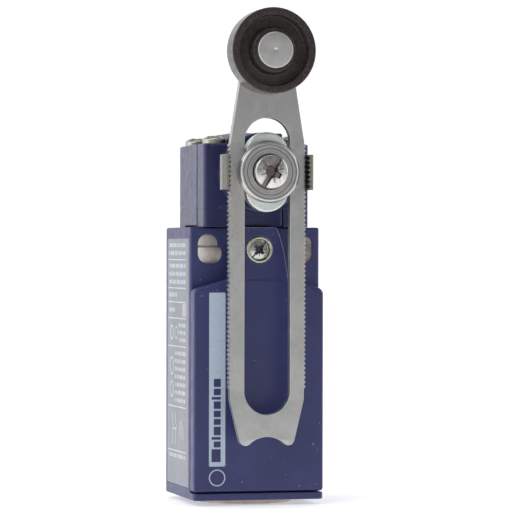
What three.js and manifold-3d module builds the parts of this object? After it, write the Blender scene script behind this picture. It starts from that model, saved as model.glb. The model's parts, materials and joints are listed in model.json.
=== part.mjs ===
// Limit switch with an adjustable roller lever, in millimetres, +Z up, +Y to the back.
// Heights in this file are measured from the underside of the housing's lip. The whole assembly is then
// lowered so that the origin lies on the back mounting face, midway between the fixing holes.
import * as THREE from 'three';
import { mergeVertices } from 'three/addons/utils/BufferGeometryUtils.js';
import Module from 'manifold-3d';

const wasm = await Module();
wasm.setup();

// ---------------------------------------------------------------- driving dimensions
const HALF_WIDTH = 15;
const FACE_Y = -25; // front of the housing's upper block, and the seam to the cover
const COVER_Y = -29;
const SHOULDER_Z = 61.25;
const LIP_HEIGHT = 1.6;
const LIP_GAP = 0.3;
const SEAM = 0.2;
const FIXING_Z = 56.3; // the height that becomes the origin

const CHAMBER = { halfX: 11.6, backY: -2.2, floorZ: 5, topZ: 43.8 };
const CABLE = { y: -14.5, holeR: 8, bossR: 11, drop: 1.2 };
const FIXING = { slotX: 11, roundX: 10, r: 2.2, lowZ: 55.3, highZ: 57.45 };
const CHANNEL = { halfX: 4.5, frontY: -17.5, backY: -9.9 }; // for the contact plunger
const COVER_SCREW = { z: 56.2, headR: 2.35, shankR: 1.5, seatY: COVER_Y + 1.3, tipY: -18.5, ferruleR: 3 };

const COVER_PLATE = 1.8;
const SKIRT = 1.5;
const TONGUE = [[6.9, 49.9], [6.56, 50.8], [5.7, 56.1], [4.82, 59.2], [4.2, SHOULDER_Z]]; // half width, height

const HEAD = { halfX: 12.15, backY: -1.25, frontY: -26.2, seamZ: 65.4, topZ: 80.05, ridgeZ: 82.45 };
const BAND = { halfWidth: 6.1, proud: 0.15, bottomZ: 61.65 };
const BASE_Z = 61.3; // underside of the head's base plate
const HEAD_Y = (HEAD.backY + HEAD.frontY) / 2;
const HEAD_SCREW = { x: 8.9, backY: -5.1, frontY: -22.3, headR: 2.65, headHeight: 1.95, shankR: 1.45 };
const COLLAR = { r: 7.2, grooveR: 6.2, bottomZ: 58.2, grooveLowZ: 59, grooveHighZ: 60 };
const LOCK_SCREW = { z: 59.5, r: 0.95, frontY: -24.7, dogR: 0.45, tipY: -20.05 };
const GASKET = { innerR: 8, outerR: 9.6, topZ: 62.2 };

const PIVOT_Z = 73.45;
const SNOUT = { r: 9, frontY: -31, boreR: 6 };
const CAM = { r: 4.95, flat: 3.6, frontY: -17.4, backY: -10.2 };
const SHAFT = { rearR: 2.9, camR: 3, mainR: 4.5, endR: 3.6, rearY: -3.3, shoulderY: -31.25, endY: -35.4 };

const LEVER = { frontY: -36.2, thickness: 2, rootX: 8.45, tipX: 8.85, pitch: 1.03, teeth: 53, toothZ: 25.2 };
const LEVER_SLOT = { halfWidth: 5.2, lowZ: 24.8, highZ: 80.3 }; // heights of the two end centres
const LEVER_FOOT = { r: 1.4, x: 4.9, archR: 5.8, archTopZ: 14.6, taperZ: 22.9 };
const CARRIER = { halfX: 10.05, lowZ: 69.5, highZ: 77.35, backY: -31.3, plate: 1.2, frontY: -38.2 };
const CARRIER_TEETH = { tipX: 8.95, rootX: 9.35, count: 7 };
const GUIDE = { r: 5, centre: 3.9, frontY: -36, backY: -32.6, flangeY: -34.1, flangeX: 8.2 };
const CUP = { r: 6.95, frontR: 6.4, recessR: 3.95, backY: -36.3, frontY: -38.4, floorY: -37.2 };
const CLAMP_SCREW = { headR: 3.75, seatY: -38, frontY: -40.5, shankR: 2.4, tipY: -24 };

const ROLLER = { z: 100.15, r: 9.5, rimR: 7.96, bossR: 5.14, backY: -36.4, frontY: -42.1, boreR: 3.25 };
const PIN = { headR: 4, frontY: -43.3, shankR: 2.4, tailR: 3.3, tailY: -32.7 };

const PUSHER = { headR: 5.6, topZ: 68.4, headHeight: 1.2, stemR: 2.5, bottomZ: 56.4 };
const CASE = { halfX: 6.6, backY: -4.4, frontY: -18, lowZ: 19, highZ: 43.2, wall: 1.4 };
const SHELF = { x: 11.3, frontY: -12.5, upper: [33, 41], lower: [20.5, 28] };
const TERMINAL = { x: 9.1, upperZ: 36, lowerZ: 24.2, bladeY: [-12.8, -14.6], thickness: 0.7 };
const BLOCK_SCREW_Z = 30.5;
const EARTH = { x: -8.2, z: 11.5 };

// ---------------------------------------------------------------- materials
const navyPaint = [0x34365a, 0.45, 0.3];
const zincPlate = [0x9c9c96, 0.4, 0.9];
const brightSteel = [0xb9b9b4, 0.28, 0.95];
const brassMetal = [0xb8964e, 0.35, 0.95];
const bronzeMetal = [0x9a6a3c, 0.45, 0.9];
const blackRubber = [0x171719, 0.85, 0];
const darkPlastic = [0x3a3432, 0.5, 0];
const greyPlastic = [0xb4b6b2, 0.55, 0];
const redPlastic = [0x8c2f28, 0.5, 0];
const paleBluePrint = [0xa8bccb, 0.4, 0];
const greyPrint = [0xa9a8b2, 0.5, 0];

// ---------------------------------------------------------------- solids
// A geometry becomes a solid: only positions are kept, shared corners are merged, and the faces point out.
function solid(geometry) {
  const bare = geometry.clone();
  bare.deleteAttribute('normal');
  bare.deleteAttribute('uv');
  const merged = mergeVertices(bare, 1e-4);
  const position = merged.attributes.position.array;
  const corners = merged.index.array;
  const triangles = [];
  let volume = 0;
  const a = new THREE.Vector3();
  const b = new THREE.Vector3();
  const c = new THREE.Vector3();
  for (let i = 0; i < corners.length; i += 3) {
    const [p, q, r] = [corners[i], corners[i + 1], corners[i + 2]];
    if (p === q || q === r || r === p) continue;
    triangles.push(p, q, r);
    a.fromArray(position, 3 * p);
    b.fromArray(position, 3 * q);
    c.fromArray(position, 3 * r);
    volume += a.dot(b.cross(c));
  }
  const facingOut = volume > 0 ? triangles : triangles.reverse();
  return new wasm.Manifold(new wasm.Mesh({
    numProp: 3,
    vertProperties: new Float32Array(position),
    triVerts: new Uint32Array(facingOut),
  }));
}

function box([x0, x1], [y0, y1], [z0, z1]) {
  const geometry = new THREE.BoxGeometry(Math.abs(x1 - x0), Math.abs(y1 - y0), Math.abs(z1 - z0));
  return solid(geometry.translate((x0 + x1) / 2, (y0 + y1) / 2, (z0 + z1) / 2));
}

// An outline drawn in X and Z, from y0 to y1.
function alongY(shape, [y0, y1], curveSegments = 8) {
  const back = Math.max(y0, y1);
  const depth = Math.abs(y1 - y0);
  const geometry = new THREE.ExtrudeGeometry(shape, { depth, bevelEnabled: false, curveSegments });
  return solid(geometry.rotateX(Math.PI / 2).translate(0, back, 0));
}

// An outline drawn in X and Y, from z0 to z1.
function alongZ(shape, [z0, z1], curveSegments = 8) {
  const geometry = new THREE.ExtrudeGeometry(shape, { depth: z1 - z0, bevelEnabled: false, curveSegments });
  return solid(geometry.translate(0, 0, z0));
}

function rodY(r, [y0, y1], x, z, segments = 24) {
  const geometry = new THREE.CylinderGeometry(r, r, Math.abs(y1 - y0), segments);
  return solid(geometry.translate(x, (y0 + y1) / 2, z));
}

function rodZ(r, [z0, z1], x, y, segments = 24) {
  const geometry = new THREE.CylinderGeometry(r, r, Math.abs(z1 - z0), segments);
  return solid(geometry.rotateX(Math.PI / 2).translate(x, y, (z0 + z1) / 2));
}

// A turned piece about an axis along Y through (x, z): its profile is a list of [radius, y].
function turnedY(profile, x, z, segments = 24) {
  const points = profile.map(([r, y]) => new THREE.Vector2(r, y));
  return solid(new THREE.LatheGeometry(points, segments).translate(x, 0, z));
}

function turnedZ(profile, x, y, segments = 24) {
  const points = profile.map(([r, z]) => new THREE.Vector2(r, z));
  return solid(new THREE.LatheGeometry(points, segments).rotateX(Math.PI / 2).translate(x, y, 0));
}

const closed = (profile) => [...profile, profile[0]];
const join = (first, ...others) => others.reduce((whole, piece) => whole.add(piece), first);
const cut = (first, ...others) => others.reduce((whole, piece) => whole.subtract(piece), first);

function outline(points) {
  return new THREE.Shape(points.map(([x, y]) => new THREE.Vector2(x, y)));
}

// Points of the right half from top to bottom, completed by their mirror image.
function mirrored(points) {
  return outline([...points, ...points.map(([x, y]) => [-x, y]).reverse()]);
}

function rectangle([x0, x1], [y0, y1]) {
  return outline([[x0, y0], [x1, y0], [x1, y1], [x0, y1]]);
}

function chamferedRectangle([x0, x1], [y0, y1], c) {
  return outline([
    [x0 + c, y0], [x1 - c, y0], [x1, y0 + c], [x1, y1 - c],
    [x1 - c, y1], [x0 + c, y1], [x0, y1 - c], [x0, y0 + c],
  ]);
}

// A vertical slot with round ends, whose end centres are at z0 and z1.
function obround(x, [z0, z1], r) {
  const shape = new THREE.Shape();
  shape.absarc(x, z1, r, 0, Math.PI);
  shape.absarc(x, z0, r, Math.PI, 2 * Math.PI);
  return shape;
}

// A coil spring along Z made as a round wire swept round a helix.
function coilSpring(x, y, [z0, z1], coilR, wireR, turns, segmentsPerTurn = 9) {
  const length = turns * segmentsPerTurn;
  const places = [];
  for (let i = 0; i <= length; i++) {
    const angle = (2 * Math.PI * i) / segmentsPerTurn;
    const z = z0 + wireR + ((z1 - z0 - 2 * wireR) * i) / length;
    places.push(new THREE.Vector3(x + coilR * Math.cos(angle), y + coilR * Math.sin(angle), z));
  }
  const section = new THREE.Shape();
  section.absarc(0, 0, wireR, 0, 2 * Math.PI);
  const path = new THREE.CatmullRomCurve3(places);
  const geometry = new THREE.ExtrudeGeometry(section, { steps: length, extrudePath: path, curveSegments: 3 });
  return solid(geometry);
}

// A pan-head screw in its own frame: seat at 0, head up to its height, shank down to its length.
function screw({ headR, headHeight, shankR, length, slotted = false, segments = 16 }) {
  const profile = [
    [0, -length], [shankR, 0.5 - length], [shankR, 0], [headR, 0],
    [headR, 0.45 * headHeight], [0.7 * headR, 0.92 * headHeight], [0, headHeight],
  ];
  const points = profile.map(([r, h]) => new THREE.Vector2(r, h));
  const blank = solid(new THREE.LatheGeometry(points, segments));
  const arm = 0.5 * headR;
  const width = 0.16 * headR;
  const recess = [0.35 * headHeight, headHeight + 1];
  const cross = join(box([-arm, arm], recess, [-width, width]), box([-width, width], recess, [-arm, arm]));
  if (!slotted) return cut(blank, cross);
  const slot = box([-2 * headR, 2 * headR], [0.7 * headHeight, headHeight + 1], [-0.1 * headR, 0.1 * headR]);
  return cut(blank, cross, slot.rotate([0, 45, 0]));
}

// Screws with their head to the front, and with their head up.
const screwToFront = (size, [x, y, z]) => screw(size).rotate([180, 0, 0]).translate([x, y, z]);
const screwUp = (size, [x, y, z]) => screw(size).rotate([90, 0, 0]).translate([x, y, z]);

// ---------------------------------------------------------------- assembly
const limitSwitch = new THREE.Group();
const assembly = new THREE.Group();
assembly.position.z = -FIXING_Z;
limitSwitch.add(assembly);

function add(name, piece, [color, roughness, metalness]) {
  const { vertProperties, triVerts } = piece.getMesh();
  const geometry = new THREE.BufferGeometry();
  geometry.setAttribute('position', new THREE.BufferAttribute(vertProperties, 3));
  geometry.setIndex(new THREE.BufferAttribute(triVerts, 1));
  geometry.computeVertexNormals();
  const mesh = new THREE.Mesh(geometry, new THREE.MeshStandardMaterial({ color, roughness, metalness }));
  mesh.name = name;
  assembly.add(mesh);
}

const both = [-1, 1];

// ---------------------------------------------------------------- housing and cover
function housing() {
  const caseOutline = chamferedRectangle([-HALF_WIDTH, HALF_WIDTH], [0, SHOULDER_Z], 0.5);
  const block = alongY(caseOutline, [0, FACE_Y]);
  const lipCorner = 1.2;
  const lip = outline([
    [-HALF_WIDTH, FACE_Y + 1], [-HALF_WIDTH, COVER_Y + lipCorner], [-HALF_WIDTH + lipCorner, COVER_Y],
    [HALF_WIDTH - lipCorner, COVER_Y], [HALF_WIDTH, COVER_Y + lipCorner], [HALF_WIDTH, FACE_Y + 1],
  ]);
  const boss = rodZ(CABLE.bossR, [-CABLE.drop, 1], 0, CABLE.y, 32);
  const screwBosses = both.map((side) =>
    rodY(2.6, [CHAMBER.backY + 0.5, CASE.backY + 0.1], side * TERMINAL.x, BLOCK_SCREW_Z, 12));
  const earthBoss = rodY(3.2, [CHAMBER.backY + 0.5, -7], EARTH.x, EARTH.z, 12);
  const chamber = box([-CHAMBER.halfX, CHAMBER.halfX], [CHAMBER.backY, FACE_Y - 1],
    [CHAMBER.floorZ, CHAMBER.topZ]);
  const hollow = join(
    cut(block, chamber), alongZ(lip, [0, LIP_HEIGHT]), boss, ...screwBosses, earthBoss);
  const channel = box([-CHANNEL.halfX, CHANNEL.halfX], [CHANNEL.backY, CHANNEL.frontY],
    [CHAMBER.topZ - 1, COLLAR.bottomZ]);
  const collarBore = rodZ(COLLAR.r + 0.2, [COLLAR.bottomZ - 0.2, SHOULDER_Z + 1], 0, HEAD_Y, 28);
  const through = [1, FACE_Y - 1];
  const fixings = both.flatMap((side) => [
    alongY(obround(side * FIXING.slotX, [FIXING.lowZ, FIXING.highZ], FIXING.r), through, 10),
    rodY(FIXING.r, through, side * FIXING.roundX, FIXING.lowZ, 20),
  ]);
  const screwHoles = [
    rodY(LOCK_SCREW.r + 0.1, [FACE_Y - 1, HEAD_Y], 0, LOCK_SCREW.z, 12),
    rodY(COVER_SCREW.shankR + 0.1, [FACE_Y - 1, COVER_SCREW.tipY + 0.2], 0, COVER_SCREW.z, 12),
    rodY(1.7, [-20, -3.4], EARTH.x, EARTH.z, 12),
    ...both.map((side) => rodY(1.35, [-6, -1], side * TERMINAL.x, BLOCK_SCREW_Z, 12)),
  ];
  const cableHole = rodZ(CABLE.holeR, [-CABLE.drop - 1, CHAMBER.floorZ + 1], 0, CABLE.y, 28);
  const labelBed = box([-HALF_WIDTH - 1, -HALF_WIDTH + 0.25], [-1.85, -23.4], [2.4, 58.8]);
  return cut(hollow, channel, collarBore, ...fixings, ...screwHoles, cableHole, labelBed);
}

// The cover's outline: full width below, sloping shoulders, and a narrow tongue that leans in upwards.
function coverOutline() {
  const bottom = LIP_HEIGHT + LIP_GAP;
  const edge = HALF_WIDTH - 0.03;
  const shoulders = [[edge, bottom], [edge, 46.9], [14.6, 47.5], [13.76, 47.84], [11.14, 48.53], [7.82, 49.36]];
  return mirrored([...shoulders, ...TONGUE]);
}

function cover() {
  const back = FACE_Y - SEAM;
  const plate = alongY(coverOutline(), [back, COVER_Y]);
  const tray = box([-HALF_WIDTH + SKIRT, HALF_WIDTH - SKIRT], [back + 1, COVER_Y + COVER_PLATE],
    [LIP_HEIGHT + LIP_GAP + SKIRT, 45.4]);
  const counterbore = rodY(COVER_SCREW.ferruleR + 0.1, [COVER_Y - 1, COVER_SCREW.seatY + 0.6], 0, COVER_SCREW.z, 24);
  const screwHole = rodY(COVER_SCREW.shankR + 0.15, [COVER_Y - 1, back + 1], 0, COVER_SCREW.z, 16);
  const labelBed = box([-11.65, -7.7], [COVER_Y + 0.25, COVER_Y - 1], [7.6, 46.7]);
  return cut(plate, tray, counterbore, screwHole, labelBed);
}

function coverGasket() {
  const ring = rectangle([-13.4, 13.4], [3.6, 45.3]);
  ring.holes.push(rectangle([-11.9, 11.9], [5.1, 43.8]));
  return alongY(ring, [FACE_Y - 0.1, COVER_Y + COVER_PLATE + 0.1]);
}

function coverFerrule() {
  const { z, headR, shankR, seatY, ferruleR } = COVER_SCREW;
  const bore = shankR + 0.15;
  const wall = headR + 0.08;
  return turnedY(closed([
    [bore, seatY + 0.5], [ferruleR, seatY + 0.5], [ferruleR, COVER_Y - 0.3], [wall, COVER_Y - 0.3],
    [wall, seatY + 0.05], [bore, seatY + 0.05],
  ]), 0, z, 24);
}

// A small set screw behind the cover's tongue: its dog reaches into the groove of the head's collar.
function headLockScrew() {
  const { z, r, frontY, dogR, tipY } = LOCK_SCREW;
  const shoulderY = HEAD_Y - COLLAR.r - 0.3;
  const blank = turnedY([
    [0, frontY], [r, frontY], [r, shoulderY], [dogR, shoulderY + 0.2], [dogR, tipY], [0, tipY],
  ], 0, z, 16);
  return cut(blank, rodY(0.55, [frontY - 1, frontY + 1], 0, z, 6));
}

add('housing', housing(), navyPaint);
add('cover', cover(), navyPaint);
add('cover_gasket', coverGasket(), blackRubber);
add('cover_screw_ferrule', coverFerrule(), brassMetal);
add('cover_screw', screwToFront({
  headR: COVER_SCREW.headR, headHeight: 1.25, shankR: COVER_SCREW.shankR,
  length: COVER_SCREW.tipY - COVER_SCREW.seatY, slotted: true,
}, [0, COVER_SCREW.seatY, COVER_SCREW.z]), brightSteel);
add('head_lock_screw', headLockScrew(), brightSteel);
add('side_label', box([-HALF_WIDTH + 0.2, -HALF_WIDTH], [-1.95, -23.3], [2.5, 58.7]), greyPrint);
add('front_label', box([-11.55, -7.8], [COVER_Y + 0.2, COVER_Y], [7.7, 46.6]), paleBluePrint);

// ---------------------------------------------------------------- head
const headScrewPlaces = [
  [-HEAD_SCREW.x, HEAD_SCREW.frontY], [HEAD_SCREW.x, HEAD_SCREW.frontY],
  [-HEAD_SCREW.x, HEAD_SCREW.backY], [HEAD_SCREW.x, HEAD_SCREW.backY],
];
const bandPlan = (halfX, halfY) => rectangle([-halfX, halfX], [HEAD_Y - halfY, HEAD_Y + halfY]);

function headBody() {
  const halfY = (HEAD.backY - HEAD.frontY) / 2;
  const plan = chamferedRectangle([-HEAD.halfX, HEAD.halfX], [HEAD.frontY, HEAD.backY], 0.8);
  const block = alongZ(plan, [HEAD.seamZ + 0.1, HEAD.topZ]);
  const sideBands = alongZ(bandPlan(HEAD.halfX + BAND.proud, BAND.halfWidth), [BAND.bottomZ, HEAD.topZ]);
  const endBands = alongZ(bandPlan(BAND.halfWidth, halfY), [BAND.bottomZ, HEAD.ridgeZ]);
  const snout = rodY(SNOUT.r, [HEAD.frontY + 4, SNOUT.frontY], 0, PIVOT_Z, 36);
  const baseSpan = [BAND.bottomZ - 1, HEAD.seamZ + 0.1];
  const baseSpace = alongZ(bandPlan(HEAD.halfX - 1.2, BAND.halfWidth + 2), baseSpan);
  const baseSpaceEnds = alongZ(bandPlan(BAND.halfWidth + 2, halfY - 1.2), baseSpan);
  const cavity = box([-6.6, 6.6], [-3.4, -23.8], [HEAD.seamZ - 1, 79.6]);
  const pockets = box([-10.3, 10.3], [-8.6, -18.8], [HEAD.seamZ - 1, 77.6]);
  const rearBoss = rodY(6.2, [-2.5, -7.6], 0, PIVOT_Z, 20);
  const frontBore = rodY(SNOUT.boreR, [-20, SNOUT.frontY - 1], 0, PIVOT_Z, 24);
  const rearBore = rodY(4.25, [-3, -9], 0, PIVOT_Z, 20);
  const screwHoles = headScrewPlaces.map(([x, y]) =>
    rodZ(HEAD_SCREW.shankR + 0.15, [HEAD.seamZ - 1, HEAD.topZ + 1], x, y, 12));
  const shell = cut(join(block, sideBands, endBands, snout), baseSpace, baseSpaceEnds, cavity, pockets);
  return cut(join(shell, rearBoss), frontBore, rearBore, ...screwHoles);
}

// The base plate shows at the head's corners. Its middle is narrower, inside the body's four bands.
function headBase() {
  const halfY = (HEAD.backY - HEAD.frontY) / 2;
  const plan = chamferedRectangle([-HEAD.halfX, HEAD.halfX], [HEAD.frontY, HEAD.backY], 0.8);
  const gap = 0.15;
  const plate = alongZ(plan, [BASE_Z, HEAD.seamZ]);
  const sideNotches = both.map((side) => box(
    [side * (HEAD.halfX - 1.2 - gap), side * 20],
    [HEAD_Y - BAND.halfWidth - gap, HEAD_Y + BAND.halfWidth + gap], [BASE_Z - 1, HEAD.seamZ + 1]));
  const endNotches = both.map((side) => box(
    [-BAND.halfWidth - gap, BAND.halfWidth + gap],
    [HEAD_Y + side * (halfY - 1.2 - gap), HEAD_Y + side * 20], [BASE_Z - 1, HEAD.seamZ + 1]));
  const collar = turnedZ([
    [0, COLLAR.bottomZ], [COLLAR.r, COLLAR.bottomZ], [COLLAR.r, COLLAR.grooveLowZ],
    [COLLAR.grooveR, COLLAR.grooveLowZ], [COLLAR.grooveR, COLLAR.grooveHighZ], [COLLAR.r, COLLAR.grooveHighZ],
    [COLLAR.r, BASE_Z + 1], [0, BASE_Z + 1],
  ], 0, HEAD_Y, 28);
  const springPocket = rodZ(5, [COLLAR.bottomZ + 1.2, HEAD.seamZ + 1], 0, HEAD_Y, 20);
  const stemBore = rodZ(PUSHER.stemR + 0.08, [COLLAR.bottomZ - 1, HEAD.seamZ], 0, HEAD_Y, 20);
  const screwHoles = headScrewPlaces.map(([x, y]) =>
    rodZ(HEAD_SCREW.shankR + 0.1, [BAND.bottomZ + 0.5, HEAD.seamZ + 1], x, y, 12));
  const sealGroove = turnedZ(closed([
    [GASKET.innerR - 0.1, BASE_Z - 1], [GASKET.outerR + 0.1, BASE_Z - 1],
    [GASKET.outerR + 0.1, GASKET.topZ + 0.05], [GASKET.innerR - 0.1, GASKET.topZ + 0.05],
  ]), 0, HEAD_Y, 28);
  const body = cut(join(plate, collar), ...sideNotches, ...endNotches, springPocket, stemBore);
  return cut(body, ...screwHoles, sealGroove);
}

function headGasket() {
  const { innerR, outerR, topZ } = GASKET;
  const lowZ = SHOULDER_Z + 0.03;
  return turnedZ(closed([[innerR, lowZ], [outerR, lowZ], [outerR, topZ], [innerR, topZ]]), 0, HEAD_Y, 28);
}

add('head_body', headBody(), navyPaint);
add('head_base', headBase(), navyPaint);
add('head_gasket', headGasket(), blackRubber);
headScrewPlaces.forEach(([x, y], i) => {
  const size = { ...HEAD_SCREW, length: HEAD.topZ - BAND.bottomZ - 1.2 };
  add(`head_screw_${i + 1}`, screwUp(size, [x, y, HEAD.topZ + 0.03]), zincPlate);
});

// ---------------------------------------------------------------- shaft line
function shaft() {
  const threadR = CLAMP_SCREW.shankR + 0.1;
  const threadEndY = CLAMP_SCREW.tipY + 0.5;
  return turnedY([
    [0, SHAFT.rearY], [SHAFT.rearR, SHAFT.rearY], [SHAFT.rearR, -7.9], [2.4, -7.9], [2.4, -8.9],
    [SHAFT.rearR, -8.9], [SHAFT.rearR, -9.6], [SHAFT.camR, -9.6], [SHAFT.camR, -18], [SHAFT.mainR, -18],
    [SHAFT.mainR, SHAFT.shoulderY], [SHAFT.endR, SHAFT.shoulderY], [SHAFT.endR, SHAFT.endY],
    [threadR, SHAFT.endY], [threadR, threadEndY], [0, threadEndY],
  ], 0, PIVOT_Z, 20);
}

// A collar with one flat underneath: turned either way, its corners press the pusher down.
function cam() {
  const half = Math.acos(CAM.flat / CAM.r);
  const shape = new THREE.Shape();
  shape.absarc(0, PIVOT_Z, CAM.r, -Math.PI / 2 + half, 1.5 * Math.PI - half);
  return cut(alongY(shape, [CAM.backY, CAM.frontY], 24), rodY(SHAFT.camR + 0.05, [-5, -25], 0, PIVOT_Z, 24));
}

function shaftClip() {
  const shape = new THREE.Shape();
  const opening = 0.45;
  shape.absarc(0, PIVOT_Z, 4.2, opening - Math.PI / 2, 1.5 * Math.PI - opening);
  shape.absarc(0, PIVOT_Z, 2.5, 1.5 * Math.PI - opening, opening - Math.PI / 2, true);
  return alongY(shape, [-8, -8.8], 12);
}

const sleeve = (inner, outer, [y0, y1], segments = 20) => turnedY(
  closed([[inner, y0], [outer, y0], [outer, y1], [inner, y1]]), 0, PIVOT_Z, segments);

function shaftSeal() {
  return turnedY(closed([
    [SHAFT.mainR + 0.15, -30.6], [SNOUT.boreR - 0.05, -30.6], [SNOUT.boreR - 0.05, -29.1],
    [SHAFT.mainR + 0.6, -29.1], [SHAFT.mainR + 0.6, -29.9], [SHAFT.mainR + 0.15, -29.9],
  ]), 0, PIVOT_Z, 24);
}

// A bent U bracket: its two flanges hold the lever's toothed edges between rows of teeth.
function leverCarrier() {
  const { halfX, lowZ, highZ, backY, plate, frontY } = CARRIER;
  const bend = 1.6;
  const section = new THREE.Shape();
  section.moveTo(halfX - bend, backY);
  section.absarc(halfX - bend, backY - bend, bend, Math.PI / 2, 0, true);
  section.lineTo(halfX, frontY + 0.35);
  section.lineTo(halfX - 0.35, frontY);
  section.lineTo(CARRIER_TEETH.tipX, frontY);
  section.lineTo(CARRIER_TEETH.tipX, backY - plate);
  section.lineTo(-CARRIER_TEETH.tipX, backY - plate);
  section.lineTo(-CARRIER_TEETH.tipX, frontY);
  section.lineTo(0.35 - halfX, frontY);
  section.lineTo(-halfX, frontY + 0.35);
  section.absarc(bend - halfX, backY - bend, bend, Math.PI, Math.PI / 2, true);
  const firstGap = (lowZ + highZ) / 2 - ((CARRIER_TEETH.count - 1) / 2) * LEVER.pitch;
  const gaps = [];
  for (let i = 0; i < CARRIER_TEETH.count; i++) {
    const z = firstGap + i * LEVER.pitch;
    const { tipX, rootX } = CARRIER_TEETH;
    const wedge = outline([[0, z + 0.45], [tipX, z + 0.45], [rootX, z], [tipX, z - 0.45], [0, z - 0.45]]);
    gaps.push(alongY(wedge, [backY - plate - 0.1, frontY - 1]));
    gaps.push(alongY(wedge, [backY - plate - 0.1, frontY - 1]).mirror([1, 0, 0]));
  }
  const shaftHole = rodY(SHAFT.endR + 0.05, [backY + 1, frontY], 0, PIVOT_Z, 24);
  return cut(alongZ(section, [lowZ, highZ], 4), shaftHole, ...gaps);
}

function guideBlock() {
  const { r, centre, frontY, backY, flangeY, flangeX } = GUIDE;
  const block = alongY(obround(0, [PIVOT_Z - centre, PIVOT_Z + centre], r), [flangeY + 0.2, frontY], 16);
  const flange = box([-flangeX, flangeX], [backY, flangeY], [CARRIER.lowZ + 0.2, CARRIER.highZ - 0.2]);
  return cut(join(block, flange), rodY(SHAFT.endR + 0.05, [backY + 1, frontY - 1], 0, PIVOT_Z, 24));
}

function cupWasher() {
  return turnedY(closed([
    [CLAMP_SCREW.shankR + 0.2, CUP.backY], [CUP.r, CUP.backY], [CUP.r, CUP.frontY + 0.6],
    [CUP.frontR, CUP.frontY], [CUP.recessR, CUP.frontY], [CUP.recessR, CUP.floorY],
    [CLAMP_SCREW.shankR + 0.2, CUP.floorY],
  ]), 0, PIVOT_Z, 32);
}

const shaftLine = {
  shaft: [shaft(), brightSteel],
  cam: [cam(), brightSteel],
  shaft_clip: [shaftClip(), brightSteel],
  front_bush: [sleeve(SHAFT.mainR + 0.1, SNOUT.boreR - 0.05, [-20.2, -28.9]), bronzeMetal],
  rear_bush: [sleeve(SHAFT.rearR + 0.05, 4.2, [-3.2, -7.6]), bronzeMetal],
  shaft_seal: [shaftSeal(), blackRubber],
  lever_carrier: [leverCarrier(), zincPlate],
  guide_block: [guideBlock(), zincPlate],
  cup_washer: [cupWasher(), zincPlate],
  spring_washer: [sleeve(CLAMP_SCREW.shankR + 0.15, 3.7, [CUP.floorY - 0.1, CLAMP_SCREW.seatY + 0.1]),
    brightSteel],
  clamp_screw: [screwToFront({
    headR: CLAMP_SCREW.headR, headHeight: CLAMP_SCREW.seatY - CLAMP_SCREW.frontY,
    shankR: CLAMP_SCREW.shankR, length: CLAMP_SCREW.tipY - CLAMP_SCREW.seatY, slotted: true,
  }, [0, CLAMP_SCREW.seatY, PIVOT_Z]), brightSteel],
};
Object.entries(shaftLine).forEach(([name, [piece, material]]) => add(name, piece, material));

// ---------------------------------------------------------------- lever and roller
// The right half of the lever's outline, from the top of the round end down to the middle of the arch.
function leverHalfOutline() {
  const endR = 5.2;
  const lean = Math.atan2(8.2 - 6.45, 91.9 - 81.7); // of the tapered neck
  const points = [];
  for (let i = 0; i <= 8; i++) {
    const angle = Math.PI / 2 - ((Math.PI / 2 - lean) * i) / 8;
    points.push([endR * Math.cos(angle) + (i === 0 ? 0.01 : 0), ROLLER.z + endR * Math.sin(angle)]);
  }
  const { rootX, tipX, pitch, teeth, toothZ } = LEVER;
  points.push([rootX, 80.2]);
  for (let i = teeth; i > 0; i--) {
    points.push([rootX, toothZ + i * pitch]);
    points.push([tipX, toothZ + (i - 0.5) * pitch]);
  }
  points.push([rootX, toothZ], [rootX, LEVER_FOOT.taperZ]);
  const { r, x, archR, archTopZ } = LEVER_FOOT;
  const archZ = archTopZ - archR;
  const footZ = archZ + Math.sqrt((archR + r) ** 2 - x ** 2);
  const meet = Math.atan2(footZ - archZ, x); // direction from the arch's centre to the foot's
  for (let i = 0; i <= 8; i++) {
    const angle = -0.22 - ((Math.PI - meet - 0.22) * i) / 8;
    points.push([x + r * Math.cos(angle), footZ + r * Math.sin(angle)]);
  }
  for (let i = 1; i <= 5; i++) {
    const angle = meet + ((Math.PI / 2 - meet) * i) / 5 - (i === 5 ? 0.002 : 0);
    points.push([archR * Math.cos(angle), archZ + archR * Math.sin(angle)]);
  }
  return points;
}

function leverPlate() {
  const { frontY, thickness } = LEVER;
  const through = [frontY + thickness + 1, frontY - 1];
  const plate = alongY(mirrored(leverHalfOutline()), [frontY + thickness, frontY]);
  const slot = alongY(obround(0, [LEVER_SLOT.lowZ, LEVER_SLOT.highZ], LEVER_SLOT.halfWidth), through, 14);
  return cut(plate, slot, rodY(PIN.shankR + 0.03, through, 0, ROLLER.z, 20));
}

function roller() {
  const { r, rimR, bossR, backY, frontY, boreR } = ROLLER;
  const webFront = frontY + 2.4;
  return turnedY(closed([
    [boreR, backY], [r - 0.4, backY], [r, backY - 0.4], [r, frontY + 0.4], [r - 0.4, frontY],
    [rimR, frontY], [rimR - 0.3, webFront], [bossR + 0.2, webFront], [bossR, frontY], [boreR, frontY],
  ]), 0, ROLLER.z, 36);
}

function rollerPin() {
  const { headR, frontY, shankR, tailR, tailY } = PIN;
  const washerBack = LEVER.frontY + LEVER.thickness + 0.5;
  return turnedY([
    [0, tailY], [0.7 * tailR, tailY], [tailR, tailY - 0.4], [tailR, washerBack], [shankR, washerBack],
    [shankR, ROLLER.frontY - 0.15], [headR, ROLLER.frontY - 0.15], [headR, frontY + 0.3],
    [headR - 0.3, frontY], [0, frontY],
  ], 0, ROLLER.z, 24);
}

const rollerRing = (inner, outer, [y0, y1]) => turnedY(
  closed([[inner, y0], [outer, y0], [outer, y1], [inner, y1]]), 0, ROLLER.z, 20);

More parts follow.
